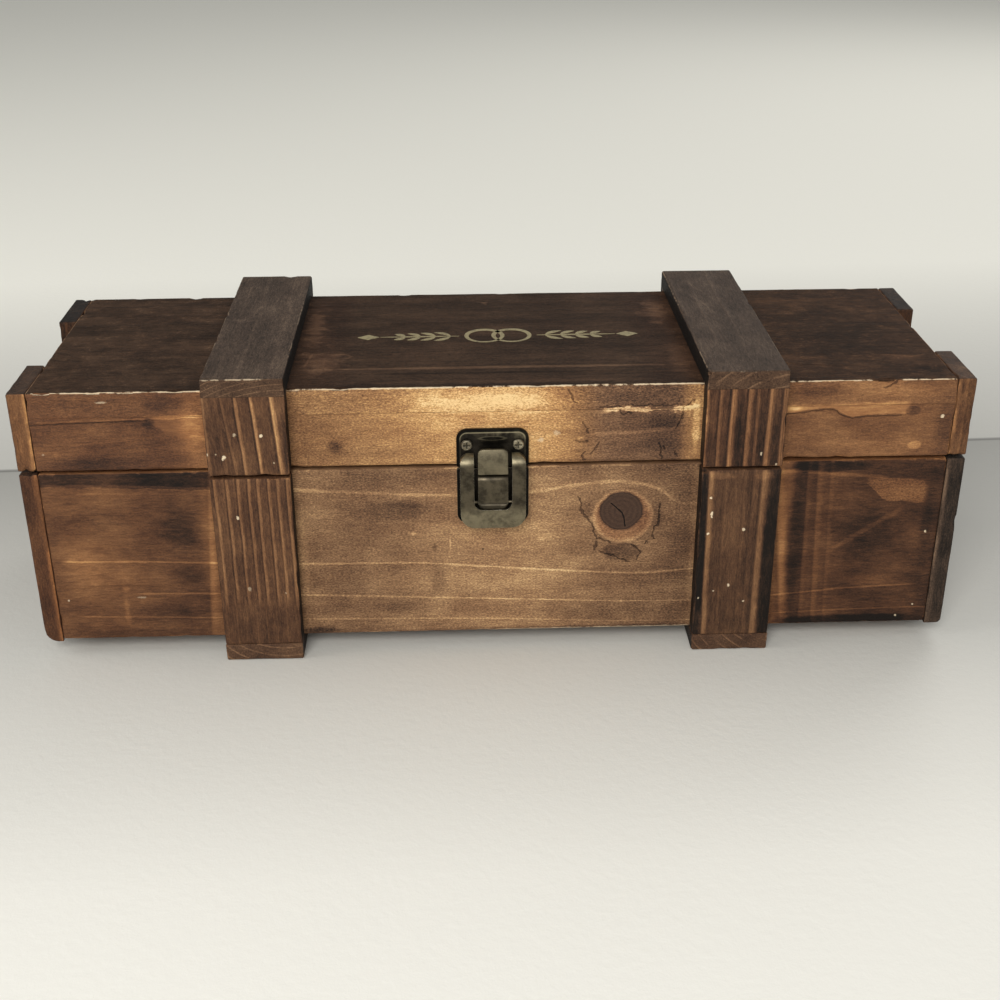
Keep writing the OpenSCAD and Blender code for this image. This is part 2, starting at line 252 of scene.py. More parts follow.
def effect(recipe):
    """Makes a node group of a recipe, and gives back a function that adds a node of that group.

    The recipe takes signals and gives its outputs by name; its defaults are the group's own.
    """
    made = bpy.data.node_groups.new(recipe.__name__.replace("_", " "), "ShaderNodeTree")
    inputs = inspect.signature(recipe).parameters
    for name, given in inputs.items():
        kind = "NodeSocketVector" if isinstance(given.default, tuple) else "NodeSocketFloat"
        made.interface.new_socket(name, in_out="INPUT", socket_type=kind).default_value = given.default
    start = made.nodes.new("NodeGroupInput").outputs
    results = recipe(*(Signal(start[name]) for name in inputs))
    for name, value in results.items():
        kind = "NodeSocketColor" if value.socket.type == "RGBA" else "NodeSocketFloat"
        made.interface.new_socket(name, in_out="OUTPUT", socket_type=kind)
    end = made.nodes.new("NodeGroupOutput").inputs
    for name, value in results.items():
        feed(end[name], value)

    def use(**values):
        """The node's outputs by name, or its one output."""
        node = add("Group", values, node_tree=made)
        found = {name: Signal(node.outputs[name]) for name in results}
        return found if len(found) > 1 else found.popitem()[1]

    return use


# ---- effects that the finishes share ----


@effect
def wood_texture(grain=ORIGIN, place=ORIGIN, ring_width=6.0, wander=1.0):
    """Growth rings, fibre, specks and blotches. Grain is (along, across, deep) from the pith."""
    wobble = cloud(grain, (0.011, 0.045, 0.045), 3.0) - 0.5
    radius = vec("LENGTH", scaled(grain, (0.0, 1.0, 1.0))) / ring_width
    phase = calc("FRACT", radius + wobble * wander)
    fade = step(cloud(grain, (0.02, 0.11, 0.11)), 0.36, 0.6, 0.15, 1.0)
    line = step(phase, 0.72, 0.92) * fall(phase, 0.95, 1.0) * fade
    fibre = cloud(grain, (0.3, 1.5, 1.5), 4.0, 0.65) - 0.5
    speck = cloud(grain, (1.1, 2.4, 2.4), 4.0, 0.75) - 0.5
    return {
        "line": line,
        "fibre": fibre,
        "long": cloud(grain, (0.015, 0.35, 0.35), 4.0, 0.6) - 0.5,
        "speck": speck,
        "fleck": step(cloud(place, 1.4, 3.0, 0.7) - 0.5, 0.12, 0.2),
        "blotch": cloud(grain, (0.045, 0.075, 0.075), 5.0, 0.6) - 0.5,
        "height": fibre + speck * 0.8 + line * 0.5,
    }


def oval(place, centre, half_size):
    """A vector whose length is 1 on the rim of an oval."""
    return vec("DIVIDE", vec("SUBTRACT", place, centre), half_size)


@effect
def scorched_patch(
    burn=0.5, place=ORIGIN, rag=0.0, centre=ORIGIN, half_size=(10.0, 10.0, 10.0), soft=0.8, ragged=0.5,
    amount=0.2
):
    """Adds amount to burn inside a soft or ragged oval. rag is a shared noise about 0."""
    reach = vec("LENGTH", oval(place, centre, half_size)) + rag * ragged
    return {"burn": burn + fall(reach, 1.0 - soft, 1.0) * amount}


@effect
def pale_streak(
    burn=0.5, run=0.0, height=0.0, rag=0.0, level=0.0, half_width=0.5, ragged=0.3, start=-200.0, end=200.0,
    amount=0.2
):
    """Takes amount off burn along a thin line at level, between start and end."""
    off = calc("ABSOLUTE", height - level)
    width = half_width * (rag * ragged * 4.0 + 1.0)
    line = fall(off / calc("MAXIMUM", width, 0.05), 0.3, 1.0)
    ends = step(run - start, 0.0, 4.0) * step(end - run, 0.0, 4.0)
    return {"burn": burn - line * (ends * amount)}


@effect
def upright_rib(burn=0.5, across=0.0, height=0.0, level=0.0, half_width=0.7, low=0.0, amount=0.2):
    """Takes amount off burn along an upright line: sharp on the left, fading on the right, dark beside it."""
    off = (across - level) / half_width
    line = step(off, -1.0, -0.3) * fall(off, 0.2, 2.2)
    dark = step(off, -2.6, -1.2) * fall(off, -1.2, -0.8)
    above = step(height - low, -5.0, 5.0)
    return {"burn": burn + (line * -1.0 + dark * 0.45) * above * amount}


@effect
def stroke_distance(nearest=1000.0, place=ORIGIN, start=ORIGIN, end=(1.0, 0.0, 0.0)):
    """The smaller of nearest and the distance to a straight stroke."""
    away, run = vec("SUBTRACT", place, start), vec("SUBTRACT", end, start)
    share = vec("DOT_PRODUCT", away, run) / vec("DOT_PRODUCT", run, run)
    share = calc("MINIMUM", calc("MAXIMUM", share, 0.0), 1.0)
    return {"nearest": calc("MINIMUM", nearest, vec("DISTANCE", away, stretched(run, share)))}


@effect
def round_knot(place=ORIGIN, rag=0.0, centre=ORIGIN, half_size=(8.0, 8.0, 8.0)):
    """A round knot: plum heart with faint rings and a dark rim, in an orange halo."""
    away = oval(place, centre, half_size)
    reach = vec("LENGTH", away) + rag * 0.1
    low = vec("DISTANCE", away, (0.08, 0.0, -0.28)) + rag * 0.1
    return {
        "heart": fall(reach, 0.94, 1.02),
        "rim": step(reach, 0.88, 1.0) * fall(reach, 1.0, 1.1),
        "rings": calc("SINE", reach * 26.0) * 0.5 + 0.5,
        "halo": fall(low, 1.1, 1.5),
        "lip": step(low, 1.12, 1.32) * fall(low, 1.34, 1.46),
    }


@effect
def worn_edge(edge=5.0, place=ORIGIN, width=0.9, cover=0.5):
    """Wear along the edges: edge is the distance to the nearest edge."""
    fine, long = cloud(place, 0.4, 5.0, 0.7) - 0.5, cloud(place, 0.05, 3.0) - 0.5
    line = fall(edge - width * (fine * 2.5 + 1.0), -0.25, 0.15)
    bare = cover * -0.5 + 0.25
    return {"worn": line * step(fine * 0.6 + long - bare, -0.04, 0.06)}


GOLDEN_RAMP = [
    (0.00, srgb(250, 218, 160)), (0.15, srgb(218, 172, 112)), (0.35, srgb(166, 125, 83)),
    (0.55, srgb(126, 91, 60)), (0.72, srgb(90, 62, 42)), (0.86, srgb(56, 39, 27)), (1.00, srgb(22, 15, 10)),
]
RED_RAMP = [
    (0.00, srgb(238, 194, 136)), (0.15, srgb(202, 145, 88)), (0.35, srgb(152, 100, 60)),
    (0.55, srgb(114, 73, 45)), (0.72, srgb(82, 51, 33)), (0.86, srgb(54, 33, 22)), (1.00, srgb(23, 14, 9)),
]
BARE_WOOD = srgb(240, 220, 186)
GREY_TINT = (1.08, 0.98, 0.82)


@effect
def scorched_colour(burn=0.5, red=0.4, grey=0.0, bare=0.0):
    """Colour of scorched pine. burn goes from raw wood at 0 to charcoal at 1; the rest are shares."""
    warm = blend(red, ramp(burn, GOLDEN_RAMP), ramp(burn, RED_RAMP))
    tone = signal("RGBToBW", {0: warm})
    plain = signal("CombineColor", {number: tone * share for number, share in enumerate(GREY_TINT)})
    return {
        "colour": blend(bare, blend(grey, warm, plain), BARE_WOOD), "gloss": step(burn, 0.1, 0.9, 0.44, 0.58),
    }


class Wood:
    """One wooden finish in the making: its burn is added up, then turned into colour and gloss.

    red is the share of maroon, and grit, scorch and line are the shares of specks, blotches and
    ring lines in the burn; wear is the burn that comes off the edges, on the share cover of them.
    """

    def __init__(
        self, name, burn, red, wander=1.2, line=0.18, scorch=0.2, grit=0.6, wear=0.3, cover=0.45,
        wear_width=0.6
    ):
        self.material, metres = new_finish(name)
        self.place = stretched(metres, 1 / MM)
        self.x, self.y, self.z = axes(self.place)
        self.edge, ring, tone = axes(attribute(metres.tree, "plank"))
        self.sideways, forwards, upwards = axes(attribute(metres.tree, "facing"))
        self.front, self.up = fall(forwards, -0.85, -0.5), step(upwards, 0.55, 0.85)
        self.texture = wood_texture(
            grain=attribute(metres.tree, "grain"), place=self.place, ring_width=ring, wander=wander
        )
        self.rag = (cloud(self.place, (0.16, 0.22, 0.3), 5.0, 0.62) - 0.5) * 2.0
        shares = {
            "fibre": 0.4, "speck": grit, "long": 0.15, "fleck": -0.14 * grit, "blotch": 0.3 + scorch,
            "line": -line
        }
        self.burn = burn + tone * 0.1
        for part, share in shares.items():
            self.burn += self.texture[part] * share
        self.red, self.grey, self.bare, self.flaked, self.dents = red, 0.0, 0.0, 0.0, 0.0
        self.wear, self.cover, self.wear_width = wear, cover, wear_width

    def face(self):
        """Place on an upright face: along, nothing, up."""
        return scaled(self.place, (1.0, 0.0, 1.0))

    def lying(self):
        """Place on a level face, laid out as an upright one: along, nothing, back."""
        return signal("CombineXYZ", {0: self.x, 2: self.y})

    def grainy(self, amount):
        """A granular surface between the bands, where the skin was brushed off."""
        self.burn += self.texture["speck"] * step(calc("ABSOLUTE", self.x), 74.0, 110.0, amount, 0.0)

    def profile(self, points):
        """Adds a burn that follows points (x, burn) along the board."""
        self.burn += level_curve(self.x, points, -0.5, 0.5)

    def patches(self, spots, place=None):
        """Each spot is (x, height, half sizes, amount), then softness and raggedness if they differ."""
        place = place or self.face()
        for x, height, wide, high, amount, *rest in spots:
            soft, ragged = rest or (0.85, 0.4)
            self.burn = scorched_patch(
                burn=self.burn, place=place, rag=self.rag, centre=(x, 0.0, height),
                half_size=(wide, 1.0, high),
                soft=soft, ragged=ragged, amount=amount,
            )

    def streaks(self, lines, low, high):
        """Each line is (points along it, half width, raggedness, from x, to x, amount)."""
        for points, width, ragged, start, end, amount in lines:
            level = level_curve(self.x, points, low, high)
            self.burn = pale_streak(
                burn=self.burn, run=self.x, height=self.z, rag=self.rag, level=level, half_width=width,
                ragged=ragged, start=start, end=end, amount=amount,
            )

    def ribs(self, lines, low, high):
        """Pale upright lines: each is (x at the top, x at the bottom, half width, amount)."""
        wander = self.x + self.texture["blotch"] * 1.4 + self.texture["fibre"] * 0.5
        for top, bottom, width, amount in lines:
            self.burn = upright_rib(
                burn=self.burn, across=wander, height=self.z, level=line_map(self.z, low, high, bottom, top),
                half_width=width, low=low - 4.0, amount=amount,
            )

    def strip(self, upper, lower, amount, granular=0.0):
        """A torn patch between two lines of (x, height) points, broken up by granular."""
        high, low = (level_curve(self.x, points, 5.0, 112.0) for points in (upper, lower))
        left, right = lower[0][0], lower[-1][0]
        shake, run = self.z + self.rag * 1.5, self.x + self.rag * 3.0
        inside = step(shake - low, -0.2, 0.35) * step(high - shake, -0.2, 1.2)
        ends = step(run, left, left + 2.5) * fall(run, right - 3.0, right)
        broken = step(self.texture["speck"], -0.1, 0.08, 1.0 - granular, 1.0)
        self.burn += inside * ends * broken * amount

    def strokes(self, lines, width, amount, ragged=1.4, place=None):
        """Thin wandering cracks along lines of (x, height) points. They are dents too."""
        place = place or self.face()
        shake = vec("SUBTRACT", cloud(place, 0.55, 3.0, 0.6, "Color"), (0.5, 0.5, 0.5))
        shaken = vec("ADD", place, scaled(shake, (2 * ragged, 0.0, 2 * ragged)))
        nearest = 1000.0
        for points in lines:
            for (x0, z0), (x1, z1) in zip(points, points[1:]):
                nearest = stroke_distance(
                    nearest=nearest, place=shaken, start=(x0, 0.0, z0), end=(x1, 0.0, z1),
                )
        line = fall(nearest + self.rag * (-0.5 * width), 0.35 * width, width)
        self.burn += line * amount
        if amount > 0:
            rim = fall(nearest, width, 3.0 * width) * step(self.texture["speck"], 0.0, 0.1)
            self.burn += rim * (-0.5 * amount)
            self.dents += line

    def chips(self, places):
        """Small bare flakes: (x, height, half size, share), then their height over width if it differs."""
        fine = (cloud(self.place, 0.9, 3.0, 0.6) - 0.5) * 2.0
        for x, z, size, share, *tall in places:
            self.flaked = scorched_patch(
                burn=self.flaked, place=self.face(), rag=fine, centre=(x, 0.0, z),
                half_size=(size, 1.0, size * (tall[0] if tall else 1.1)), soft=0.5, ragged=1.2, amount=share,
            )

    def only(self, where, otherwise):
        """Keeps the burn, dents and chips so far where the mask says, and the other burn elsewhere."""
        self.dents *= where
        self.flaked *= where
        self.burn = mix(where, otherwise, self.burn)

    def finish(self, bump=0.00036, rough_shift=0.0, specular=0.2):
        worn = worn_edge(edge=self.edge, place=self.place, width=self.wear_width, cover=self.cover)
        look = scorched_colour(
            burn=calc("SUBTRACT", self.burn, worn * self.wear, clamp=True),
            red=calc("MULTIPLY_ADD", self.texture["blotch"], 0.9, self.red, clamp=True),
            grey=self.grey,
            bare=calc("MAXIMUM", worn * self.bare, self.flaked),
        )
        return shade(self.material, {
            "Base Color": look["colour"],
            "Roughness": look["gloss"] + rough_shift,
            "Specular IOR Level": specular,
            "Normal": bumped(self.texture["height"] + self.dents * -1.6, bump),
        })


# ---- wooden finishes ----


def base_front_finish():
    """Front board of the base: four pale grain lines, a big knot, scorched ends."""
    wood = Wood(
        "base front wood", burn=0.51, red=0.35, line=0.03, scorch=0.18, grit=0.4, wear=0.2, cover=0.35,
    )
    plain = wood.burn + 0.06
    wood.grainy(1)
    wood.profile([
        (-172, 0.14), (-150, 0.1), (-130, 0.17), (-116, 0.2), (-108, 0.08), (-76, 0), (-50, 0.01),
        (-22, -0.09), (10, -0.14), (30, -0.06), (55, 0.05), (66, 0.1), (73, 0.14), (77, 0.02), (107, 0.06),
        (111, 0.06), (116, 0.3), (125, 0.22), (142, 0.28), (160, 0.28), (172, 0.34),
    ])
    wood.streaks([
        ([(-172, 73.5), (-141, 72.9), (-111, 71.4), (-76, 70.3), (-42, 68), (-15, 66.9), (12, 67.4),
            (29, 70.2), (48, 71.3), (62, 67.8), (73, 61.5), (90, 66), (109, 74.2), (130, 72.8), (142, 71.7),
            (172, 70)], 1, 0.35, -172, 150, 0.15),
        ([(-172, 70.4), (-141, 70), (-106, 69.2)], 0.5, 0.4, -160, -107, 0.08),
        ([(-172, 41.5), (-133, 40.8), (-109, 39.8), (-76, 38.6), (-28, 37.9), (-5, 36), (34, 32.9),
            (54, 31.8), (74, 33)], 0.6, 0.4, -168, 80, 0.2),
        ([(-172, 27), (-138, 26.8), (-110, 26.2), (-75, 24.8), (-30, 22.8), (5, 21.2), (74, 18.9),
            (112, 20.7), (136, 22.9), (163, 24.1), (172, 24.6)], 0.5, 0.4, -142, 166, 0.18),
        ([(-172, 17.3), (-109, 15.4), (-76, 14), (-10, 12.7), (75, 9.9), (113, 12.3), (172, 13.8)], 0.4, 0.35,
            -165, 172, 0.15),
        ([(126, 37.5), (133, 42.2), (155, 56.9), (160, 60)], 1.6, 0.5, 128, 158, 0.1),
    ], 5, 80)
    wood.patches([
        (-35, 75, 44, 6, 0.12), (40, 77.5, 40, 3.5, 0.04), (0, 69.5, 60, 2.5, -0.06),
        (-36, 61, 22, 6.5, 0.18), (-34, 63.5, 12, 3.5, 0.08), (-23, 30, 4.5, 10, 0.14),
        (-36, 18.5, 16, 5, 0.1), (-58, 30, 14, 10, 0.05), (40, 14.5, 36, 6, 0.1), (8, 50, 40, 10, -0.05),
        (-70, 8.6, 12, 2.6, 0.3), (20, 7.6, 70, 1.6, 0.2), (-74.5, 42, 2.6, 36, -0.1),
        (-32, 50.8, 2.2, 1.3, -0.24), (-18, 46, 0.5, 5, -0.2), (-24, 44.5, 1.6, 2.6, 0.2),
        (17, 47.5, 2, 1.2, -0.14), (-5.4, 43.5, 0.5, 0.5, 0.4, 0.5, 0.2), (-159, 40, 11, 20, -0.1),
        (-148, 34, 18, 8, -0.05), (-121, 55, 9, 14, 0.14, 0.7, 0.9), (-119, 34, 9, 6, 0.1),
        (-110, 42, 4, 40, -0.14, 0.9, 0.6), (-128, 17.5, 22, 8, 0.05), (-144, 29, 2.4, 2.4, -0.16),
        (-144.6, 20, 1.6, 12, -0.12, 0.8, 0.9), (-140, 9, 32, 3, 0.12), (-150, 60, 16, 9, 0.06),
        (-162, 66, 4, 1, 0.12), (125, 76.3, 19, 3.2, 0.2, 0.4, 0.3), (115.5, 44, 4.6, 34, 0.12, 0.6, 0.4),
        (142, 47, 21, 15, 0.12, 0.8, 0.5), (148, 26.5, 16, 4, -0.12), (152, 16, 20, 3, -0.06),
        (140, 8.6, 34, 3, 0.3, 0.5, 0.2), (166.5, 50, 3.4, 30, 0.08),
    ])
    wood.strip([(-180, 82), (-100, 82)], [(-182, 73.2), (-141, 72.2), (-102, 70.6)], 0.26)
    wood.strip(
        [(136, 71.6), (142, 71.4), (164, 70.4), (172, 70)],
        [(140, 69.5), (145, 65), (148, 62), (156, 60.8), (166, 59.8)], -0.34, 0.85,
    )
    wood.ribs([
        (107.4, 113.6, 1.6, 0.16), (119, 120.5, 0.8, 0.08), (123, 125.5, 1, 0.09), (127.6, 130, 0.7, 0.05),
        (-107.6, -111.6, 1.2, 0.1),
    ], 12, 70)
    # the big knot, and the cracked skin round it
    place = wood.face()
    knot = round_knot(place=place, rag=wood.rag, centre=(47.6, 0, 58.8), half_size=(8.3, 1, 8.1))
    wood.burn += knot["halo"] * -0.08
    wood.burn += knot["lip"] * -0.15
    wood.patches([(48.5, 41, 9, 4.8, 0.2, 0.4, 0.8), (34.5, 60, 3, 7, 0.08), (62, 56, 3, 8, 0.06)], place)
    dark = 0.72 + knot["rings"] * 0.05 + wood.texture["speck"] * 0.4
    wood.burn = mix(knot["heart"], wood.burn, dark) + knot["rim"] * 0.16
    wood.strokes([
        [(30.9, 65.1), (32.1, 63.6), (32.5, 58.5), (35.3, 55.2), (36.7, 54), (37.4, 49.6), (38.6, 47.4),
            (41.5, 46.3), (44.1, 45.1)],
        [(38.3, 46.1), (37.8, 42.6)], [(40.3, 41.2), (46.2, 39.3), (47.2, 38.2), (51.4, 37)],
        [(62.4, 61.9), (62.2, 57), (62, 53), (60.6, 51.5), (59.9, 48.2), (60.7, 46.9)],
        [(58.3, 46), (57.5, 44.6)],
        [(52.4, 44.4), (54.7, 42.2), (55.5, 40.7), (54.1, 37.8)],
    ], 0.42, 0.24, 1.6, place)
    wood.strokes([[(43.6, 62.3), (47.9, 58.2), (48.8, 55.8), (49.3, 52.3)]], 0.34, 0.4, 0.3, place)
    wood.chips([
        (-166.6, 24.6, 0.6, 0.6), (-138.6, 25.2, 2, 0.25, 0.25), (166.4, 47.6, 0.5, 0.7),
        (165.4, 14.9, 0.45, 0.6), (159.1, 9.9, 0.5, 0.5),
    ])
    wood.only(wood.front, plain)
    ends = step(wood.x, -110, -95, 0.45, 0) + step(wood.x, 95, 110, 0, 0.5)
    orange = knot["halo"] * wood.front
    wood.red = 0.2 + ends * 1.1 + orange * 0.7
    wood.grey = ends * -0.34 + 0.17 + knot["heart"] * wood.front * 0.22
    low = fall(wood.z, 7.6, 9) * (step(wood.x, -20, 30) * fall(wood.x, 75, 77))
    wood.cover, wood.bare = low * 0.4 + 0.35, low * 0.55
    return wood.finish()


def lid_front_finish():
    """Front of the lid: golden, with a torn pale strip along the joint of its two boards; its upper middle is
    lightest, partly sanded wood and partly a painted glare highlight.
    """
    wood = Wood("lid front wood", burn=0.5, red=0.35, line=0.03, scorch=0.15, grit=0.7, wear_width=0.45)
    plain = wood.burn
    wood.grainy(0.7)
    # the lighter middle of this profile is partly sanded wood and partly a painted glare highlight
    wood.profile([
        (-172, 0.13), (-150, 0.15), (-130, 0.17), (-116, 0.08), (-108, 0), (-76, -0.01), (-60, -0.06),
        (-30, -0.19), (-5, -0.29), (14, -0.28), (26, -0.18), (36, 0.04), (50, 0.1), (67, 0.14), (70, 0),
        (77, -0.1), (107, 0.04), (120, 0.06), (135, 0.02), (150, 0.02), (172, 0.1),
    ])
    joint = [(-172, 98.9), (-152, 99.7), (-138, 100), (-121, 100.5), (-108, 100.8)]
    wood.streaks([
        (joint, 0.6, 0.6, -171, -128, 0.14), (joint, 0.8, 0.6, -128, -106, 0.26),
        ([(28, 100.3), (40, 100.4), (46, 101), (55, 100.5), (62, 100.6), (69, 100.9), (76, 102.2)], 1, 1.3,
            38, 77, 0.5),
        ([(28, 90.8), (42, 91.4), (54, 91.6), (61, 92.5), (76, 92.8)], 0.9, 0.5, 33, 70, 0.14),
        ([(-172, 90), (-150, 90.6), (-138, 91.6), (-130, 92)], 0.5, 0.4, -168, -134, 0.06),
    ], 79, 112)
    wood.strip(
        [(-130, 100.2), (-121, 100.3), (-108, 100.8)], [(-128, 99.8), (-122, 94.9), (-117, 92.8), (-106, 91)],
        -0.12, 0.6,
    )
    lower = [
        (106, 98), (110, 98.2), (115, 98.9), (118, 99.4), (123, 100), (126, 99.5), (129, 97.4), (133, 96.2),
        (138, 96.9), (155, 97),
    ]
    wood.strip([(106, 101.8), (128, 101.9), (139, 102.5), (156, 102.6)], lower, -0.24, 0.35)
    wood.patches([
        # the first patch lightens the upper middle: partly sanded wood, partly a painted glare highlight
        (-2, 104.5, 46, 6.2, -0.29, 1, 0.3), (-25, 98, 44, 9, -0.03), (-50, 84.5, 30, 5, 0.08),
        (-60, 104, 16, 6, 0.04), (-59.7, 87.3, 4.2, 3.8, 0.26, 0.8, 0.3),
        (74.4, 94, 1.8, 14, -0.22, 0.5, 0.3), (62, 95.5, 9, 4, 0.14), (46, 105.5, 14, 3.6, 0.08),
        (60, 86, 24, 4.2, 0.08), (44, 88.5, 12, 1.5, -0.05), (31.5, 89.8, 1.8, 0.9, -0.2),
        # (0, 80.6, ...) below is painted shade along the seam under the lid
        (0, 80.6, 72, 0.8, 0.1), (-112.5, 95, 6, 16, -0.14, 0.9, 0.6), (-127.6, 97.8, 3.4, 3, 0.16, 0.6, 0.7),
        (-121, 106, 10, 3.4, 0.1, 0.5, 0.6), (-150, 82.5, 26, 4, 0.12), (-158, 101.5, 14, 2, -0.06),
        (-163, 86.5, 1.8, 1.2, -0.12), (-115, 84, 12, 4, 0.06), (-155, 106.5, 20, 3, 0.05),
        (111, 100, 3.2, 1.5, -0.2, 0.7, 0.8), (120, 106.5, 13, 3.4, 0.1), (150, 106.5, 20, 3.5, -0.08),
        (135, 91, 30, 6, 0.04), (155.4, 98.2, 3.2, 2.3, 0.16, 0.3, 0.3),
        (157.5, 84.4, 2.9, 2, -0.2, 0.35, 0.3), (168, 92, 5.5, 18, 0.1), (120, 83, 14, 3, 0.06),
    ])
    wood.strokes([
        [(26.7, 108.8), (28.6, 104.9), (30.1, 103.6)], [(32.1, 96), (33.7, 93.6), (34.1, 92)],
        [(29.7, 88.8), (31.2, 88.2), (33.8, 88.3)],
        [(38.3, 87.8), (38, 86.2), (35.4, 83.4)], [(33.2, 83.8), (32.1, 82.2), (32.9, 80.5)],
        [(45.8, 100.2), (46.9, 99), (50.2, 99.4)], [(73, 104.1), (69.5, 101), (69, 96.9), (66.9, 92.9)],
        [(61.2, 87.4), (61.8, 82.4), (62.3, 80.4)], [(62.8, 85.7), (62.9, 84.1)], [(67, 83.2), (67.9, 81.1)],
        [(143.5, 107.5), (146.5, 108.9), (148.5, 110.8)], [(38.3, 101.9), (53.1, 102.2), (67.2, 102.2)],
    ], 0.42, 0.22, 1.6)
    wood.strokes([
        [(-171, 98.3), (-152, 99), (-128, 99.5)],
        [(106, 97.6), (115, 98.4), (118, 98.9), (123, 99.5), (126, 99), (129, 96.9), (133, 95.7), (138, 96.4),
            (151, 96.6)],
    ], 0.35, 0.16, 0.6)
    wood.chips([
        (16.4, 89.2, 1.4, 0.45, 0.7), (22.5, 91.9, 1.5, 0.35, 0.7), (-144.4, 106.9, 2.4, 0.35, 0.16),
        (-167.6, 86.6, 0.6, 0.3), (166.9, 95.9, 0.75, 0.8),
    ])
    near = step(wood.x, 30, 42) * fall(wood.x, 66, 72)
    wood.only(wood.front, plain)
    wood.grey = near * wood.front * 0.2
    wood.red = step(wood.x, -110, -95, 0.85, 0.25) + step(wood.x, 95, 110) * 0.4 + near * 0.3
    upper = step(wood.z, 104, 108)
    middle = step(wood.x, -90, -30) * fall(wood.x, 50, 90)
    wood.wear = upper * 0.2 + 0.2
    wood.cover = upper * (middle * 0.3 + 0.05) + 0.3
    wood.bare = step(wood.z, 109.4, 110.3) * (middle * 0.5 + 0.2)
    return wood.finish(specular=0.25)


def lid_top_finish():
    """Top of the lid: burnt nearly black, rubbed along the bands."""
    wood = Wood("lid top wood", burn=0.5, red=0.35, wear=0.4, cover=0.7, wear_width=0.5)
    drift = cloud(wood.place, (0.01, 0.05, 0), 4, 0.6)
    wood.burn = step(drift, 0.3, 0.7, 0.81, 0.87)
    for part, share in {"fibre": 0.24, "long": 0.16, "speck": 0.45, "blotch": 0.22}.items():
        wood.burn += wood.texture[part] * share
    wood.patches([
        (0, -37.4, 90, 1.6, -0.16, 0.5, 0.3), (0, -43, 80, 1.4, 0.08), (10, -52, 70, 3, -0.08, 0.9, 0.6),
        (-2, 40, 2.4, 1.6, -0.14), (158, -34, 9, 6, -0.06), (163, -46, 8, 5, 0.1),
        (-71, 12, 6, 30, -0.18, 0.9, 1.4), (-66, -30, 12, 18, -0.16, 0.9, 1.3),
        (69, 26, 8, 20, -0.18, 0.9, 1.4), (71, -30, 8, 22, -0.1, 0.9, 1.2), (0, -54.5, 170, 2.6, 0.04),
        (-20, -15, 34, 9, -0.03), (36, -42, 30, 7, -0.03), (135, 0, 30, 60, 0.05),
    ], wood.lying())
    wood.strokes([
        [(-62.8, -22.6), (-60.5, -21.4), (-56.6, -21.6), (-54.6, -23.6), (-56.5, -26), (-60.5, -26.3)],
        [(-5, 41.5), (-2.2, 39.8), (-1.4, 37.6)],
        [(-70, -20), (-72, -34)], [(150, -30), (160, -33), (166, -31)],
    ], 0.7, -0.1, 0.8, wood.lying())
    rubbed = step(calc("ABSOLUTE", calc("ABSOLUTE", wood.x) - 68), 4, 16, 0.6, 0.1)
    foot = step(calc("ABSOLUTE", wood.x), 66, 75, 0, -0.3)
    specks = step(wood.texture["speck"], 0, 0.12) * step(wood.rag, -0.1, 0.3)
    wood.burn += foot * specks
    wood.grey, wood.red = step(wood.x, 60, 110, 0.3, 0.05), rubbed
    wood.bare = step(wood.y, -56.6, -55.4, 0.7, 0)
    return wood.finish(bump=0.0003, specular=0.05)


def board_finish():
    """Back and end boards and the inside: plain scorched pine with its own rings."""
    wood = Wood("plain board wood", burn=0.62, red=0.6, line=0.16, scorch=0.25, wear=0.2, cover=0.4)
    return wood.finish()


SIDE_STAIN = 0.3


def darker_sides(wood):
    """Darkens the faces that look along the box."""
    wood.burn += step(calc("ABSOLUTE", wood.sideways), 0.75, 0.95) * SIDE_STAIN


BAND_LINES = {
    "base left": ([(x, x + 0.3, 0.5, 0.22) for x in (-104.6, -100.2, -96.1, -92.1, -88.8, -84.7, -81.4,
        -77.8)], 30, 78),
    "lid left": ([(-94.4, -92.8, 0.55, 0.28), (-88.7, -86.9, 0.55, 0.34), (-81.6, -79.6, 0.7, 0.36),
        (-99.4, -96.4, 0.45, 0.12), (-106.3, -105.6, 0.45, 0.18)], 83, 110.7),
    "base right": ([(80, 80.8, 0.9, 0.26), (100.3, 99.7, 1.1, 0.2), (86, 86, 0.6, 0.05),
        (93, 93.6, 0.6, 0.05), (96.5, 96.2, 0.5, 0.06)], 4, 78),
    "lid right": ([
        (77, 77.2, 0.5, 0.24), (81.8, 81.7, 0.6, 0.22), (86.4, 86, 0.9, 0.32), (92.4, 92.3, 0.8, 0.3),
        (95.3, 95.4, 0.5, 0.1), (100.1, 99.6, 0.8, 0.24), (105.4, 105.2, 1, 0.2),
    ], 80, 110.7),
}
BAND_CHIPS = {
    "base left": [(-97.1, 62.5, 0.7, 0.8), (-95.1, 31.9, 0.9, 0.3), (-81.5, 29.8, 0.5, 0.4)],
    "lid left": [
        (-95.7, 96.2, 0.7, 0.45), (-86.1, 95.6, 0.75, 0.9), (-100.1, 87.2, 1, 0.9), (-106.2, 88.5, 0.6, 0.7),
        (-82, 84.8, 0.4, 0.5), (-103, 88.6, 0.4, 0.5),
    ],
    "base right": [
        (80.4, 67.1, 0.6, 0.9), (81.1, 60.2, 0.6, 0.9, 2.6), (80.2, 51.8, 0.6, 0.9), (93.7, 53.6, 0.7, 0.7),
        (89.4, 29.3, 0.6, 0.8), (83.7, 26.8, 0.4, 0.6), (95.8, 22, 0.5, 0.7), (78, 23.8, 0.4, 0.6),
    ],
    "lid right": [(98.1, 84.9, 0.45, 0.6, 1.8), (104, 80.6, 0.5, 0.5)],
}


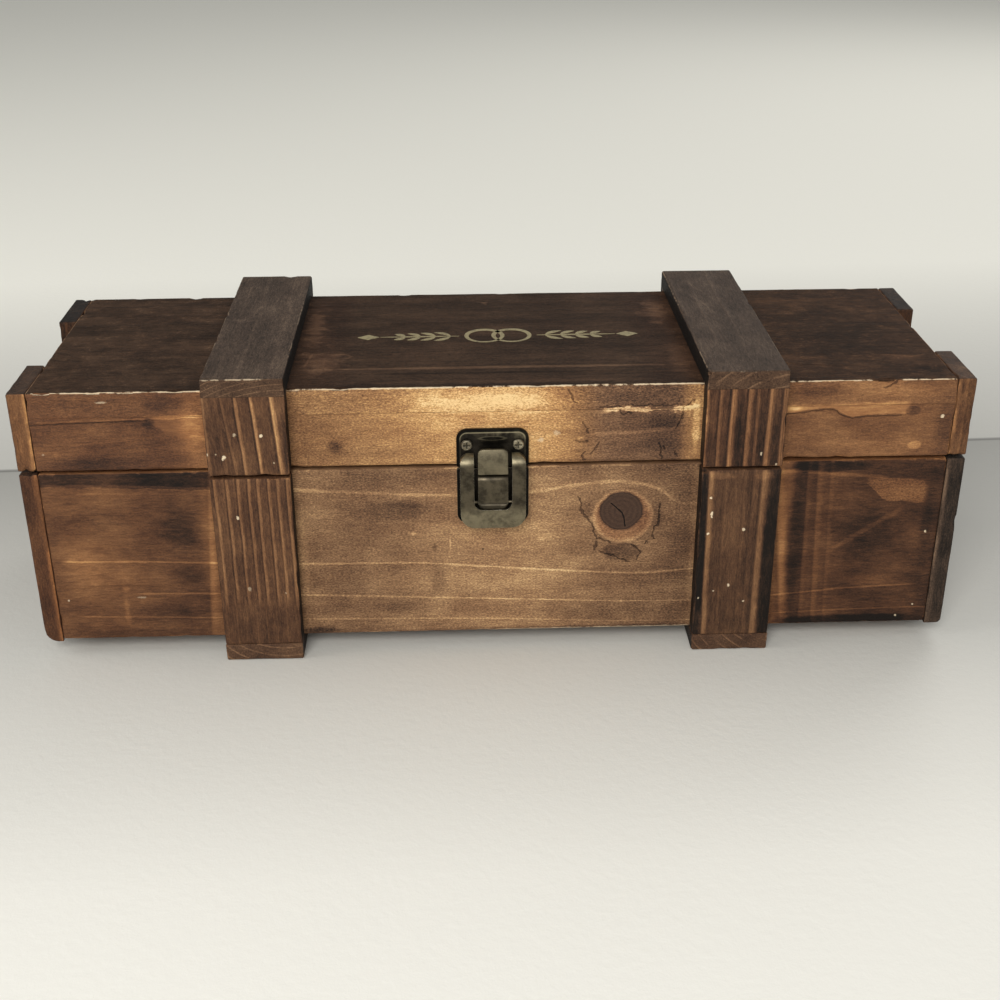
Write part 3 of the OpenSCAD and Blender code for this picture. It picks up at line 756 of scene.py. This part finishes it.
def band_finish(name, burn, red):
    """Upright strip of a band: dark, with pale lines along the grain on its front."""
    wood = Wood(
        name + " band wood", burn=burn, red=red, wander=0.35, line=0.08, scorch=0.1, grit=0.4, wear=0.2,
        cover=0.35, wear_width=0.5,
    )
    plain = wood.burn
    wood.ribs(*BAND_LINES[name])
    wood.patches({
        "base right": [
            (76.8, 36, 3, 60, 0.24, 0.4, 0.2), (104.6, 34, 4.2, 60, 0.24, 0.5, 0.2), (90, 45, 8, 34, -0.03),
            (84, 76.5, 6, 2.4, -0.14, 0.6, 0.8), (100, 76, 5, 3, -0.14, 0.6, 0.8), (90, 12, 12, 6, 0.06),
        ],
        "base left": [(-91.5, 14, 20, 14, 0.06), (-100, 50, 6, 30, 0.04), (-91, 72, 16, 8, -0.03)],
        "lid left": [
            (-101.5, 97, 7, 22, 0.06), (-77.4, 90, 1.2, 18, 0.12), (-79.6, 106, 2, 8, -0.06),
            (-88, 107, 10, 4, -0.05),
        ],
        "lid right": [
            (89.2, 92, 2.2, 22, 0.14), (97.5, 92, 1.8, 22, 0.12), (102.6, 90, 1.8, 22, 0.14),
            (79.4, 100, 1.6, 14, -0.08), (84, 95, 1.6, 16, -0.06),
        ],
    }[name])
    wood.chips(BAND_CHIPS[name])
    wood.only(wood.front, plain)
    darker_sides(wood)
    wood.grey = 0.08
    return wood.finish(bump=0.0004)


def band_bottom_finish():
    """Strips under and behind the box: maroon, with rings on their ends."""
    wood = Wood(
        "band bottom wood", burn=0.7, red=0.4, wander=0.6, line=0.2, scorch=0.12, wear=0.2, cover=0.35,
    )
    darker_sides(wood)
    wood.grey = 0.2
    return wood.finish()


def band_top_finish():
    """Cross strips over the lid: grey-brown and matt on top, with scuffs and pale edges."""
    wood = Wood(
        "band top wood", burn=0.755, red=0.25, wander=0.5, line=0.06, scorch=0, wear=0.2, cover=0.4,
        wear_width=0.4,
    )
    plain = wood.burn
    wood.patches([
        (-99, 1, 6, 2.6, -0.08), (-88, 12, 2, 18, -0.05), (86, 20, 3, 30, -0.04), (-95, 50, 12, 9, 0.04),
        (100, -50, 9, 8, 0.04),
    ], wood.lying())
    wood.strokes([
        [(-103, 4), (-99, -2), (-94, 1), (-96, 8), (-92, 22)], [(-84, 30), (-80.5, 10), (-82, -12)],
        [(-96, -40), (-93, -47)],
        [(80, 34), (88, 12), (90, -6)], [(84, 46), (92, 20)],
    ], 1.2, -0.05, 1.2, wood.lying())
    wood.only(wood.up, plain)
    # rings on the front ends stand out more
    wood.burn += wood.front * wood.texture["line"] * -0.12
    darker_sides(wood)
    wood.grey = wood.up * 0.3 + 0.3
    wood.bare = step(wood.z, 116.4, 117.4) * step(wood.y, -63.6, -62, 0.4, 0.1)
    return wood.finish(bump=0.0003, rough_shift=0.08, specular=0.15)


def batten_finish():
    """Battens on the ends: maroon on the left, darker and mottled on the right, with painted shade on the
    back battens and towards the back of the tops.
    """
    wood = Wood(
        "batten wood", burn=0.74, red=0.9, wander=0.6, line=0.08, scorch=0.2, wear=0.12, cover=0.3,
        wear_width=0.5,
    )
    lid = step(wood.z, 78.6, 79.6)
    right = step(wood.x, -10, 10)
    near = wood.front * fall(wood.y, -30, 0)
    golden = lid * near * (right * 0.1 + -0.15)
    # painted shade: tops darker further back, and every face but the front battens' fronts a little darker
    low_right = right * (1.0 - lid)
    far = step(wood.y, 0, 30, 0.03, 0.15)
    top = wood.up * (far + right * -0.05)
    for change in (golden, low_right * 0.13, top, (1.0 - near) * 0.08):
        wood.burn += change
    inner = step(calc("ABSOLUTE", wood.x), 171.4, 173.2, -0.4, 0)
    specks = step(wood.texture["blotch"], -0.06, 0.1, 0.25, 1)
    wood.burn += inner * specks * near
    wood.red = 0.9 + low_right * -0.7 + lid * -0.4 + wood.up * -0.35
    wood.grey = wood.up * 0.2 + low_right * 0.45
    return wood.finish()


# ---- metal finishes ----


@effect
def rubbed_plating(place=ORIGIN, rounded=0.0):
    """Brushing, tarnish and rubbed edges of bronze plating; the edges' lighter colour is partly wear and
    partly a painted highlight. Place is in mm.
    """
    fine = cloud(place, 2.6, 4.0, 0.7)
    return {
        "tarnish": step(cloud(place, 0.22, 5.0, 0.65), 0.35, 0.68),
        "rubbed": rounded * step(fine, 0.3, 0.6, 0.45, 1.0),
        "scratch": fine * 0.4 + cloud(place, (0.35, 0.35, 9.0), 3.0, 0.6) * 0.6,
    }


# colours of the painted highlights, and of the painted shade in slots and margins
RUBBED_METAL, BLACKENED_METAL = srgb(150, 140, 114), srgb(8, 7, 6)
PLATE_MIDDLE, PLATE_CORNER = 74.95, 4.0  # height of the two plates' middle, and their corner radius
PLATE_CORE = (13.5 - PLATE_CORNER, 0.0, 19.35 - PLATE_CORNER)
DENT_CENTRE, DENT_SHARES = (LATCH_X, 0.0, 90.6), (0.25, 0.0, 1.6)  # shares are 1 over its half size


def plate_marks(place):
    """Painted light on the latch plates, as (highlight, shade): a highlight line along the stamped rim in a
    margin of painted shade, a painted sheen above, and a dent.
    """
    x, _, z = axes(place)
    away = vec("ABSOLUTE", vec("SUBTRACT", place, (LATCH_X, 0.0, PLATE_MIDDLE)))
    beyond = vec("MAXIMUM", vec("SUBTRACT", away, PLATE_CORE), ORIGIN)
    inwards = PLATE_CORNER - vec("LENGTH", scaled(beyond, (1.0, 0.0, 1.0)))
    # painted highlight along the top of the rim, and a painted sheen on the plate's upper right
    line = step(inwards, 1.15, 1.35) * fall(inwards, 1.4, 1.75) * step(z, 88.0, 93.0, 0.08, 0.85)
    right = step(x, -8.0, 8.0, 0.1, 0.4)
    sheen = step(z, 89.0, 92.0) * (right * step(cloud(place, 0.3, 3.0), 0.4, 0.65))
    # the long dent stamped into the plate above the hook, drawn only as a painted highlight on its rim and
    # painted shade inside
    dent = vec("LENGTH", scaled(vec("SUBTRACT", place, DENT_CENTRE), DENT_SHARES))
    pressed = step(dent, 0.95, 1.1) * fall(dent, 1.25, 1.5)
    bright = line + sheen + pressed * 0.2
    # painted shade in the margin along the outline and inside the dent
    dark = step(inwards, 0.9, 1.2, 0.9, 0.0) + step(dent, 0.8, 1.0, 0.6, 0.0)
    return bright, dark


def pull_marks(place):
    """Painted light on the latch, as (highlight, shade): highlights on the hook, partly rubbed metal too, and
    on the ring's bends, a painted reflection of the floor on its lower bar, and painted shade on the crank's
    lip.
    """
    x, _, z = axes(place)
    away = calc("ABSOLUTE", x - LATCH_X)
    outer = step(away, 5.7, 6.3)
    inner = outer * -1.0 + 1.0
    # painted highlight on the hook, which is partly rubbed metal too
    hook = step(z, 77.8, 78.2, 0.0, 0.5) * inner
    # painted highlight where the ring's arms bend back
    bends = step(z, 81.0, 84.5) * outer
    # painted reflection of the floor on the ring's lower bar
    bar = step(z, 61.0, 66.5, 0.8, 0.0)
    share = step(cloud(place, 0.3, 5.0, 0.65), 0.32, 0.62, 0.25, 0.75)
    # painted shade on the crank's lip
    lip = step(z, 64.0, 64.3) * step(z, 66.2, 67.0, 0.6, 0.0) * inner
    bright = hook + bends + bar
    return bright * share, lip


def bronze_finish(name, dark, light, rub, rough, marks=None):
    """Antique bronze plating; the rounded edges are lighter, partly from wear and partly as a painted
    highlight, and screw slots get painted shade.
    """
    material, metres = new_finish(name)
    place = stretched(metres, 1 / MM)
    rounded, sunk, _ = axes(attribute(metres.tree, "shape"))
    wear = rubbed_plating(place=place, rounded=rounded)
    body = blend(wear["tarnish"], light, dark)
    # painted highlights, reflections and shade on the latch pieces
    if marks:
        bright, black = marks(place)
        body = blend(black, blend(bright, body, RUBBED_METAL), BLACKENED_METAL)
    grain = (wear["scratch"] - 0.5) * 0.9 + 1.0
    body = blend(1.0, body, signal("CombineColor", {0: grain, 1: grain, 2: grain}), "MULTIPLY")
    # rubbed edges, partly painted highlight, and painted shade in the screw slots
    return shade(material, {
        "Base Color": blend(sunk * 0.9, blend(wear["rubbed"] * 0.8, body, rub), BLACKENED_METAL),
        "Roughness": rough - 0.1 + wear["tarnish"] * 0.12 + wear["scratch"] * 0.2,
        "Normal": bumped(wear["scratch"], 0.00006, 0.7),
        "Metallic": 0.9,
    })


# ---- pieces ----


def put(name, mesh, body, slot, replaced=None):
    """Puts a mesh in the scene as a piece of a body, in place of a CAD piece if one is named."""
    piece = bpy.data.objects.new(name, mesh)
    bpy.context.scene.collection.objects.link(piece)
    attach(piece, body)
    if replaced:
        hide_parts(replaced)


# ---- planks ----

EDGE_STEPS = (0.0, 0.3, 0.7, 1.2, 1.9, 3.0)
FACE_STEP = 3.0
CHIP_START = 0.3
EDGE_RADIUS, LEAST_RADIUS = 0.75, 0.12
NEAR_EDGE = 3.5
TINY = 1e-9
TIGHT_REACH, FAR_OFF = 3.2, 20.0
SPARE = 0.4  # flat left between two edges
GRAIN_SHIFT, SEEDS = 13.7, 97  # shift of the grain from plank to plank, and how many there are


def plank_lines(low, high):
    """Places of the mesh lines along one side: close together at the edges, wide apart between."""
    near = [d for d in EDGE_STEPS if d < (high - low) / 2 - SPARE]
    count = max(1, round((high - low - 2 * near[-1]) / FACE_STEP))
    middle = list(np.linspace(low + near[-1], high - near[-1], count + 1))
    return np.array([low + d for d in near[:-1]] + middle + [high - d for d in reversed(near[:-1])])


def box_shell(lines):
    """Surface of a lattice box: its lattice points, and quads of their numbers that face outwards."""
    last = [len(places) - 1 for places in lines]
    quads = []
    for a in range(3):
        b, c = (a + 1) % 3, (a + 2) % 3
        i, j = (part.ravel() for part in np.meshgrid(np.arange(last[b]), np.arange(last[c]), indexing="ij"))
        for side in (0, last[a]):
            corners = []
            for di, dj in ((0, 0), (1, 0), (1, 1), (0, 1)):
                corner = np.zeros((len(i), 3), int)
                corner[:, a], corner[:, b], corner[:, c] = side, i + di, j + dj
                corners.append(corner)
            quads.append(np.stack(corners if side else corners[::-1], 1))
    quads = np.concatenate(quads)
    points, numbers = np.unique(quads.reshape(-1, 3), axis=0, return_inverse=True)
    return points, numbers.reshape(-1, 4)


def wobble(point, size, shift=0.0):
    return noise.noise(Vector(point) / size + Vector((shift, shift * 1.7, shift * 0.6)))


def edge_radius(points, edge, chips, seed):
    """Each point's own edge radius: it wanders along the edge, and grows where a chip is missing."""
    found = np.full(len(points), EDGE_RADIUS)
    for number in np.nonzero(edge < NEAR_EDGE)[0]:
        point = points[number]
        wander = 1 + 0.4 * wobble(point, 11.0, seed)
        chip = wobble(point, 2.6, seed + 9.0) + 0.35 * wobble(point, 17.0, seed + 5.0) - CHIP_START
        found[number] = EDGE_RADIUS * wander + chips * max(0.0, chip)
    return found


def round_foot(points, low, high, side, foot):
    """Rounds the outer lower corner of a batten, seen from the front."""
    x0 = high[0] - foot if side > 0 else low[0] + foot
    z0 = low[2] + foot
    dx, dz = side * (points[:, 0] - x0), z0 - points[:, 2]
    inside = (dx > 0) & (dz > 0)
    square, round_ = np.maximum(dx, dz), np.hypot(dx, dz)
    share = np.where(inside, square / np.maximum(round_, TINY), 1.0)
    points[:, 0] = np.where(inside, x0 + side * dx * share, points[:, 0])
    points[:, 2] = np.where(inside, z0 - dz * share, points[:, 2])


def plank(
    node, along, pith, ring, material, body, slot, chips=4.0, tight=(), foot=None, lean=0.0, tone=0.0,
    top=None
):
    """A worn plank in place of a CAD board.

    along is the grain's axis, 0 to 2; pith is the pith's distance from the plank's middle on the
    next two axes; tight names faces, as (axis, side), whose edges are glued close; foot is the
    (side, radius) of a rounded lower corner; lean is how far the grain turns per unit of length;
    top is another finish for the face that looks up.
    """
    low, high = (np.array(corner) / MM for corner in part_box(node))
    lines = [plank_lines(low[a], high[a]) for a in range(3)]
    lattice, quads = box_shell(lines)
    points = np.stack([lines[a][lattice[:, a]] for a in range(3)], 1)
    below, above = points - low, high - points
    edge = np.sort(np.minimum(below, above), axis=1)[:, 1]
    seed = sum(ord(letter) for letter in node) % SEEDS
    radii = edge_radius(points, edge, chips, seed)
    for axis, side in tight:
        near = above if side > 0 else below
        radii = np.where(near[:, axis] < TIGHT_REACH, LEAST_RADIUS, radii)
        near[:, axis] += FAR_OFF
    open_edge = np.sort(np.minimum(below, above), axis=1)[:, 1]
    radii = np.clip(radii, LEAST_RADIUS, (high - low).min() / 2 - SPARE)
    middle, half = (low + high) / 2, (high - low) / 2
    local = points - middle
    core = np.clip(local, radii[:, None] - half, half - radii[:, None])
    away = local - core
    worn = middle + core + away * (radii / np.maximum(np.linalg.norm(away, axis=1), TINY))[:, None]
    if foot:
        round_foot(worn, low, high, *foot)

    mesh = bpy.data.meshes.new("worn_" + node)
    mesh.from_pydata((worn * MM).tolist(), [], quads.tolist())
    mesh.shade_smooth()
    mesh.update()
    across = [(along + 1) % 3, (along + 2) % 3]
    grain = np.zeros_like(points)
    grain[:, 0] = local[:, along] + GRAIN_SHIFT * seed
    for place, axis in enumerate(across):
        grain[:, place + 1] = local[:, axis] + pith[place] + lean * (1 - place) * local[:, along]
    normals = np.array([v.normal for v in mesh.vertices])
    own = np.stack([open_edge, np.full(len(points), ring), np.full(len(points), tone)], 1)
    for name, values in {"grain": grain, "plank": own, "facing": normals}.items():
        data = mesh.attributes.new(name, "FLOAT_VECTOR", "POINT").data
        data.foreach_set("vector", values.astype(np.float32).ravel())
    mesh.materials.append(material)
    if top:
        mesh.materials.append(top)
        for face in mesh.polygons:
            face.material_index = int(face.normal.z > 0.6)
    put("worn_" + node, mesh, body, slot, node)


X, Y, Z = 0, 1, 2
base_front, lid_front, lid_top = base_front_finish(), lid_front_finish(), lid_top_finish()
board_wood, band_bottom_wood = board_finish(), band_bottom_finish()
band_top_wood, batten_wood = band_top_finish(), batten_finish()
band_fronts = {
    "base left": band_finish("base left", 0.7, 0.5), "base right": band_finish("base right", 0.74, 0.3),
    "lid left": band_finish("lid left", 0.7, 0.45), "lid right": band_finish("lid right", 0.76, 0.7),
}

# boards: the grain's axis, the pith and the ring width, then the finish, body and slot, and what differs
SIDES, UNDER, OVER = ((Y, -1), (Y, 1)), (Z, -1), (Z, 1)
for node, *grain, material, body, slot, more in (
    ("base_front_board", X, (70.0, -20.0), 18.0, base_front, "base", "base_wood", {}),
    ("base_back_board", X, (-55.0, 25.0), 11.0, board_wood, "base", "base_wood", {"tone": 0.3}),
    ("base_left_end", Y, (30.0, -48.0), 9.0, board_wood, "base", "base_wood", {"tight": SIDES, "tone": 0.6}),
    ("base_right_end", Y, (-20.0, 52.0), 8.0, board_wood, "base", "base_wood", {"tight": SIDES, "tone": 0.8}),
    ("base_bottom_board", X, (12.0, 60.0), 12.0, board_wood, "base", "base_wood",
        {"tight": (UNDER, OVER), "tone": -0.6}),
    ("lid_front_board", X, (60.0, 15.0), 16.0, lid_front, "lid", "lid_wood", {"tight": (OVER,)}),
    ("lid_back_board", X, (-50.0, 10.0), 9.0, board_wood, "lid", "lid_wood", {"tight": (OVER,), "tone": 0.2}),
    ("lid_left_end", Y, (14.0, -60.0), 8.0, board_wood, "lid", "lid_wood",
        {"tight": (*SIDES, OVER), "tone": 0.5}),
    ("lid_right_end", Y, (10.0, 45.0), 9.0, board_wood, "lid", "lid_wood",
        {"tight": (*SIDES, OVER), "tone": 0.6}),
    ("lid_top_board", X, (18.0, 34.0), 9.0, lid_front, "lid", "top_wood",
        {"tight": (UNDER,), "chips": 5.0, "top": lid_top}),
):
    plank(node, *grain, material, body, slot, **more)

# bands: (side, pith and ring width of the base's and the lid's front strip, lean of the lid's grain,
# pith and ring width of the strip on top)
BANDS = (
    ("left", -1, (74.1, 8.0), 3.83, (73.1, 8.0), 6.5, 0.06, (60.0, -15.0), 2.2),
    ("right", 1, (-68.0, -44.0), 19.7, (75.9, 8.0), 4.75, 0.0, (34.0, -20.0), 4.6),
)
for name, side, base_pith, base_ring, lid_pith, lid_ring, lean, top_pith, top_ring in BANDS:
    base_back, lid_back = ((-40.0, -55.0), 5.5, band_bottom_wood), ((-46.0, -50.0), 5.0, band_bottom_wood)
    bottom = ((-30.0, -26.0 if side > 0 else -8.0), 3.6, band_bottom_wood)
    foot = (side, 5.0 if side < 0 else 2.0)
    for node, *grain, material, body, more in (
        (f"base_{name}_front_strip", Z, base_pith, base_ring, band_fronts[f"base {name}"], "base",
            {"chips": 5.0}),
        (f"base_{name}_back_strip", Z, *base_back, "base", {"tone": 0.3}),
        (
            f"lid_{name}_front_strip", Z, lid_pith, lid_ring, band_fronts[f"lid {name}"], "lid",
            {"tight": (OVER,), "chips": 5.0, "lean": lean},
        ),
        (f"lid_{name}_back_strip", Z, *lid_back, "lid", {"tight": (OVER,), "tone": 0.2}),
        (f"{name}_top_strip", Y, top_pith, top_ring, band_top_wood, "lid", {"tight": (UNDER,), "chips": 5.0}),
        (f"{name}_bottom_strip", Y, *bottom, "base", {"tight": (OVER,)}),
    ):
        plank(node, *grain, material, body, "band_wood", **more)
    for depth in ("front", "back"):
        for body, pith, ring, more in (
            ("base", (side * 40.0, 30.0), 6.0, {"foot": foot}), ("lid", (side * 36.0, 34.0), 7.0, {})
        ):
            plank(
                f"{body}_{name}_{depth}_batten", Z, pith, ring, batten_wood, body, "batten_wood", chips=5.0,
                **more,
            )


# ---- ornament on the lid ----


def ornament():
    """A thin pale inlay on the top: two linked rings, with a leafy sprig and a lozenge on each side."""
    made = bmesh.new()
    middle, bottom, top = Vector((2.5, -2.0)), TOP_FACE - 0.05, TOP_FACE + 0.07
    profile = ((-1, bottom), (1, bottom), (1, top), (-1, top))

    def ribbon(path, widths, closed):
        rows = []
        for number, point in enumerate(path):
            before = path[number - 1] if number or closed else point
            after = path[(number + 1) % len(path)] if number < len(path) - 1 or closed else point
            across = (after - before).normalized().orthogonal() * widths[number]
            rows.append([
                made.verts.new(((middle + point + across * out).to_3d() + Vector((0, 0, z))) * MM)
                for out, z in profile
            ])
        for first, second in zip(rows, rows[1:] + rows[:1] if closed else rows[1:]):
            for a in range(4):
                made.faces.new((first[a], first[(a + 1) % 4], second[(a + 1) % 4], second[a]))
        if not closed:
            made.faces.new(rows[0][::-1])
            made.faces.new(rows[-1])

    def tapered(start, end, width, bow=0.0, count=16):
        """A stroke that swells in the middle, bowed to one side."""
        start, end = Vector(start), Vector(end)
        side = (end - start).orthogonal() * bow
        path, widths = [], []
        for k in range(count):
            share = k / (count - 1)
            swell = math.sin(math.pi * share)
            path.append(start.lerp(end, share) + side * swell)
            widths.append(0.12 + width * swell)
        ribbon(path, widths, False)

    turns = [2 * math.pi * k / 64 for k in range(64)]
    for x in (-5.4, 5.4):
        ring = [Vector((x + 7.2 * math.cos(t), 7.2 * math.sin(t))) for t in turns]
        ribbon(ring, [0.85 + 0.25 * math.sin(t) for t in turns], True)
    for side in (-1, 1):
        tapered((side * 15.5, 0.0), (side * 47.0, 0.0), 0.5, count=24)
        for number, x in enumerate((19.0, 25.0, 31.0, 37.0)):
            reach = 6.6 - 0.7 * number
            for turn in (-1, 1):
                tip = (side * (x + reach), turn * (reach * 0.72))
                tapered((side * x, turn * 0.4), tip, 1.05, 0.1 * turn * side)
        lozenge = [Vector((side * x, 0.0)) for x in np.linspace(47.5, 56.0, 9)]
        ribbon(lozenge, [0.15 + 2.9 * (1 - abs(k - 4) / 4) for k in range(9)], False)
    bmesh.ops.recalc_face_normals(made, faces=made.faces)
    mesh = bpy.data.meshes.new("lid_ornament")
    made.to_mesh(mesh)
    made.free()
    mesh.materials.append(inlay_finish())
    put("lid_ornament", mesh, "lid", "top_wood")


def inlay_finish():
    """Pale gold, rubbed thin in places."""
    material, metres = new_finish("pale inlay")
    place = stretched(metres, 1 / MM)
    fine, broad = cloud(place, 1.3, 5.0, 0.7), cloud(place, 0.22, 3.0)
    rubbed = step(broad * 0.3 + fine * 0.7, 0.5, 0.62)
    colour = blend(rubbed, srgb(146, 134, 98), srgb(92, 80, 58))
    return shade(material, {"Base Color": colour, "Roughness": 0.55, "Normal": bumped(fine, 0.0001)})


# ---- metal pieces ----

ornament()
# tarnished and plain plating, its rubbed edges with their painted highlight, roughness
latch_bronze = bronze_finish(
    "latch bronze", srgb(52, 47, 38), srgb(88, 80, 65), srgb(250, 243, 222), 0.36, pull_marks
)
# the plates take a darker copy of the latch bronze: painted shade for the dark surroundings that their faces
# mirror
plate_bronze = bronze_finish(
    "plate bronze", srgb(24, 21, 18), srgb(46, 41, 34), srgb(110, 103, 88), 0.36, plate_marks
)
hinge_bronze = bronze_finish("hinge bronze", srgb(50, 45, 37), srgb(86, 78, 63), srgb(150, 141, 120), 0.42)
screw_bronze = bronze_finish("screw bronze", srgb(92, 84, 70), srgb(160, 150, 126), srgb(238, 230, 208), 0.34)

SLOT_START, SLOT_DEPTH = 0.35, 0.3
COARSE_FROM, COARSE_TO = math.radians(12), math.radians(50)  # turns between a coarse corner's flats
SHARP, SMOOTH, FLAT = math.radians(32), math.radians(38), math.radians(0.5)
CORNER_WIDTH = 0.6
WELD = 2e-6


def bevelled(made, edges, width, segments):
    """Rounds the edges, and gives back the new faces."""
    return bmesh.ops.bevel(
        made, geom=edges, offset=width * MM, segments=segments, profile=0.5, affect="EDGES",
        clamp_overlap=True
    )["faces"]


def round_corners(made):
    """Rounds the coarse corners of a flat outline, whose edges run from front to back."""
    corners = []
    for edge in made.edges:
        run = (edge.verts[1].co - edge.verts[0].co).normalized()
        if abs(run.y) > 0.95 and len(edge.link_faces) == 2:
            if COARSE_FROM < edge.calc_face_angle(0.0) < COARSE_TO:
                corners.append(edge)
    bevelled(made, corners, CORNER_WIDTH, 2)


def softened(node, body, slot, material, width, segments=2, proud=None):
    """A copy of a CAD piece with its sharp edges rounded; the rounded part is marked for wear and a painted
    edge highlight.

    proud is (y, material): the finish of what stands in front of that y.
    """
    made = bmesh.new()
    made.from_mesh(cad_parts[node].data)
    marked = made.faces.layers.int.new("bevelled")
    bmesh.ops.remove_doubles(made, verts=made.verts, dist=WELD)
    bmesh.ops.dissolve_limit(made, angle_limit=FLAT, verts=made.verts, edges=made.edges)
    if slot == "latch_metal":
        round_corners(made)
    sharp = [e for e in made.edges if len(e.link_faces) == 2 and e.calc_face_angle(0.0) > SHARP]
    for face in made.faces:
        face[marked] = 1
    for face in bevelled(made, sharp, width, segments):
        face[marked] = 2
    bmesh.ops.triangulate(made, faces=[f for f in made.faces if len(f.verts) > 4])
    head = -1 if node.startswith("latch") else 1
    front = max(head * v.co.y for v in made.verts)
    made.faces.ensure_lookup_table()
    shapes = []
    for face in made.faces:
        for corner in face.loops:
            depth = (front - head * corner.vert.co.y) / MM
            sunk = min(1.0, max(0.0, (depth - SLOT_START) / SLOT_DEPTH)) if "screws" in node else 0.0
            shapes.append((float(face[marked] == 2), sunk, 0.0))
    mesh = bpy.data.meshes.new("soft_" + node)
    made.to_mesh(mesh)
    made.free()
    mesh.shade_smooth()
    mesh.set_sharp_from_angle(angle=SMOOTH)
    data = mesh.attributes.new("shape", "FLOAT_VECTOR", "CORNER").data
    data.foreach_set("vector", np.array(shapes, np.float32).ravel())
    mesh.materials.append(material)
    if proud:
        mesh.materials.append(proud[1])
        for face in mesh.polygons:
            face.material_index = int(face.center.y < proud[0] * MM)
    put("soft_" + node, mesh, body, slot, node)


# the keeper's hook takes the lighter latch bronze, its plate the darker copy with painted shade
HOOK_Y = -59.6  # the keeper's hook stands in front of this
softened("latch_keeper", "lid", "latch_metal", plate_bronze, 0.32, proud=(HOOK_Y, latch_bronze))
softened("latch_base_plate", "base", "latch_metal", plate_bronze, 0.25)
softened("latch_crank", "crank", "latch_metal", latch_bronze, 0.32)
softened("latch_ring", "ring", "latch_metal", latch_bronze, 0.6, segments=3)
for node, body in (("latch_crank_pin", "base"), ("latch_ring_pins", "ring")):
    softened(node, body, "latch_metal", latch_bronze, 0.1)
for side in ("left", "right"):
    for part, body in (("base_leaf", "base"), ("lid_leaf", "lid"), ("pin", "base")):
        softened(f"hinge_{side}_{part}", body, "hinge_metal", hinge_bronze, 0.15)
for part, body in (
    ("latch_keeper", "lid"), ("latch_base", "base"), ("hinge_base", "base"), ("hinge_lid", "lid"),
):
    softened(part + "_screws", body, "screw_metal", screw_bronze, 0.08)


# ---- stage, light and camera ----

FLOOR_HALF = 6.0
FLOOR_DROP = 0.0001  # keeps the floor's face off the feet's
CORNER_Y, CORNER_SLOPE = 0.1276, 0.0356  # the line behind the box where the backdrop starts
TONE_REACH = 0.32


def floor_finish():
    """A pale sheet with painted shade: darker towards a creased line behind the box, where it turns into the
    backdrop, and darkest in a thin painted line along it.
    """
    material, place = new_finish("pale floor")
    x, y, _ = axes(place)
    behind = y - CORNER_Y + x * -CORNER_SLOPE
    away = calc("ABSOLUTE", behind)
    near = line_map(calc("MINIMUM", away, TONE_REACH), 0.0, TONE_REACH)
    # painted shade: darkest on the line, fading out over TONE_REACH to each side, with a thin darker crease
    least = step(behind, -0.001, 0.001, 0.42, 0.62)
    tone = (least + near * (1.0 - least)) * step(away, 0.0006, 0.0025, 0.55, 1.0)
    pale = blend(step(behind, 0.05, 0.35), srgb(238, 237, 230), srgb(255, 254, 245))
    grey = blend(tone, srgb(0, 0, 0), pale)
    crease = bumped(cloud(place, 260.0, 5.0, 0.6), 0.0006, 0.35)
    looks = {"Base Color": grey, "Roughness": 0.6, "Normal": crease, "Specular IOR Level": 0.3}
    return shade(material, looks)


floor_mesh = bpy.data.meshes.new("floor")
corners = [(x * FLOOR_HALF, y * FLOOR_HALF, -FLOOR_DROP) for x, y in ((-1, -1), (1, -1), (1, 1), (-1, 1))]
floor_mesh.from_pydata(corners, [], [(0, 1, 2, 3)])
floor_mesh.materials.append(floor_finish())
floor = bpy.data.objects.new("floor", floor_mesh)
bpy.context.scene.collection.objects.link(floor)
floor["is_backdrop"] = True

world = bpy.data.worlds.new("studio")
bpy.context.scene.world = world
world.use_nodes = True
background = world.node_tree.nodes["Background"].inputs
background["Color"].default_value = (0.80, 0.80, 0.78, 1.0)
background["Strength"].default_value = 0.42


LAMP_COLOUR, LAMP_TARGET = (1.0, 0.98, 0.95), Vector((0.0, 0.0, 0.05))


def soft_lamp(name, place, size, power):
    data = bpy.data.lights.new(name, "AREA")
    data.shape, data.size, data.energy, data.color = "DISK", size, power, LAMP_COLOUR
    lamp = bpy.data.objects.new(name, data)
    lamp.location = place
    lamp.rotation_mode = "QUATERNION"
    lamp.rotation_quaternion = (LAMP_TARGET - Vector(place)).to_track_quat("-Z", "Y")
    bpy.context.scene.collection.objects.link(lamp)


soft_lamp("front lamp", (-0.25, -1.25, 0.95), 0.9, 17.0)
soft_lamp("left lamp", (-1.3, -0.1, 1.0), 1.0, 6.0)
soft_lamp("back lamp", (0.9, 1.2, 1.1), 1.0, 6.0)

# the photograph's viewpoint, found from the box's corners
CAMERA_PLACE = (-14.55, -541.0, 301.4)
YAW, PITCH, ROLL = 0.03259, 0.45513, -0.00452
SENSOR = 36.0
FOCAL_SHARE = 1.41883  # focal length over image width
ahead = Vector((math.sin(YAW) * math.cos(PITCH), math.cos(YAW) * math.cos(PITCH), -math.sin(PITCH)))
level = Vector((math.cos(YAW), -math.sin(YAW), 0.0))
upward = level.cross(ahead)
right = math.cos(ROLL) * level + math.sin(ROLL) * upward
top = -math.sin(ROLL) * level + math.cos(ROLL) * upward
camera_data = bpy.data.cameras.new("camera")
camera_data.sensor_width = SENSOR
camera_data.lens = SENSOR * FOCAL_SHARE
camera_data.clip_start, camera_data.clip_end = 0.01, 30.0
camera = bpy.data.objects.new("camera", camera_data)
turn = Matrix((right, top, -ahead)).transposed().to_4x4()
camera.matrix_world = Matrix.Translation(Vector(CAMERA_PLACE) * MM) @ turn
bpy.context.scene.collection.objects.link(camera)
bpy.context.scene.camera = camera
bpy.context.scene.view_settings.view_transform = "Standard"

seen_low, seen_high = (list(corner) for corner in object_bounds())
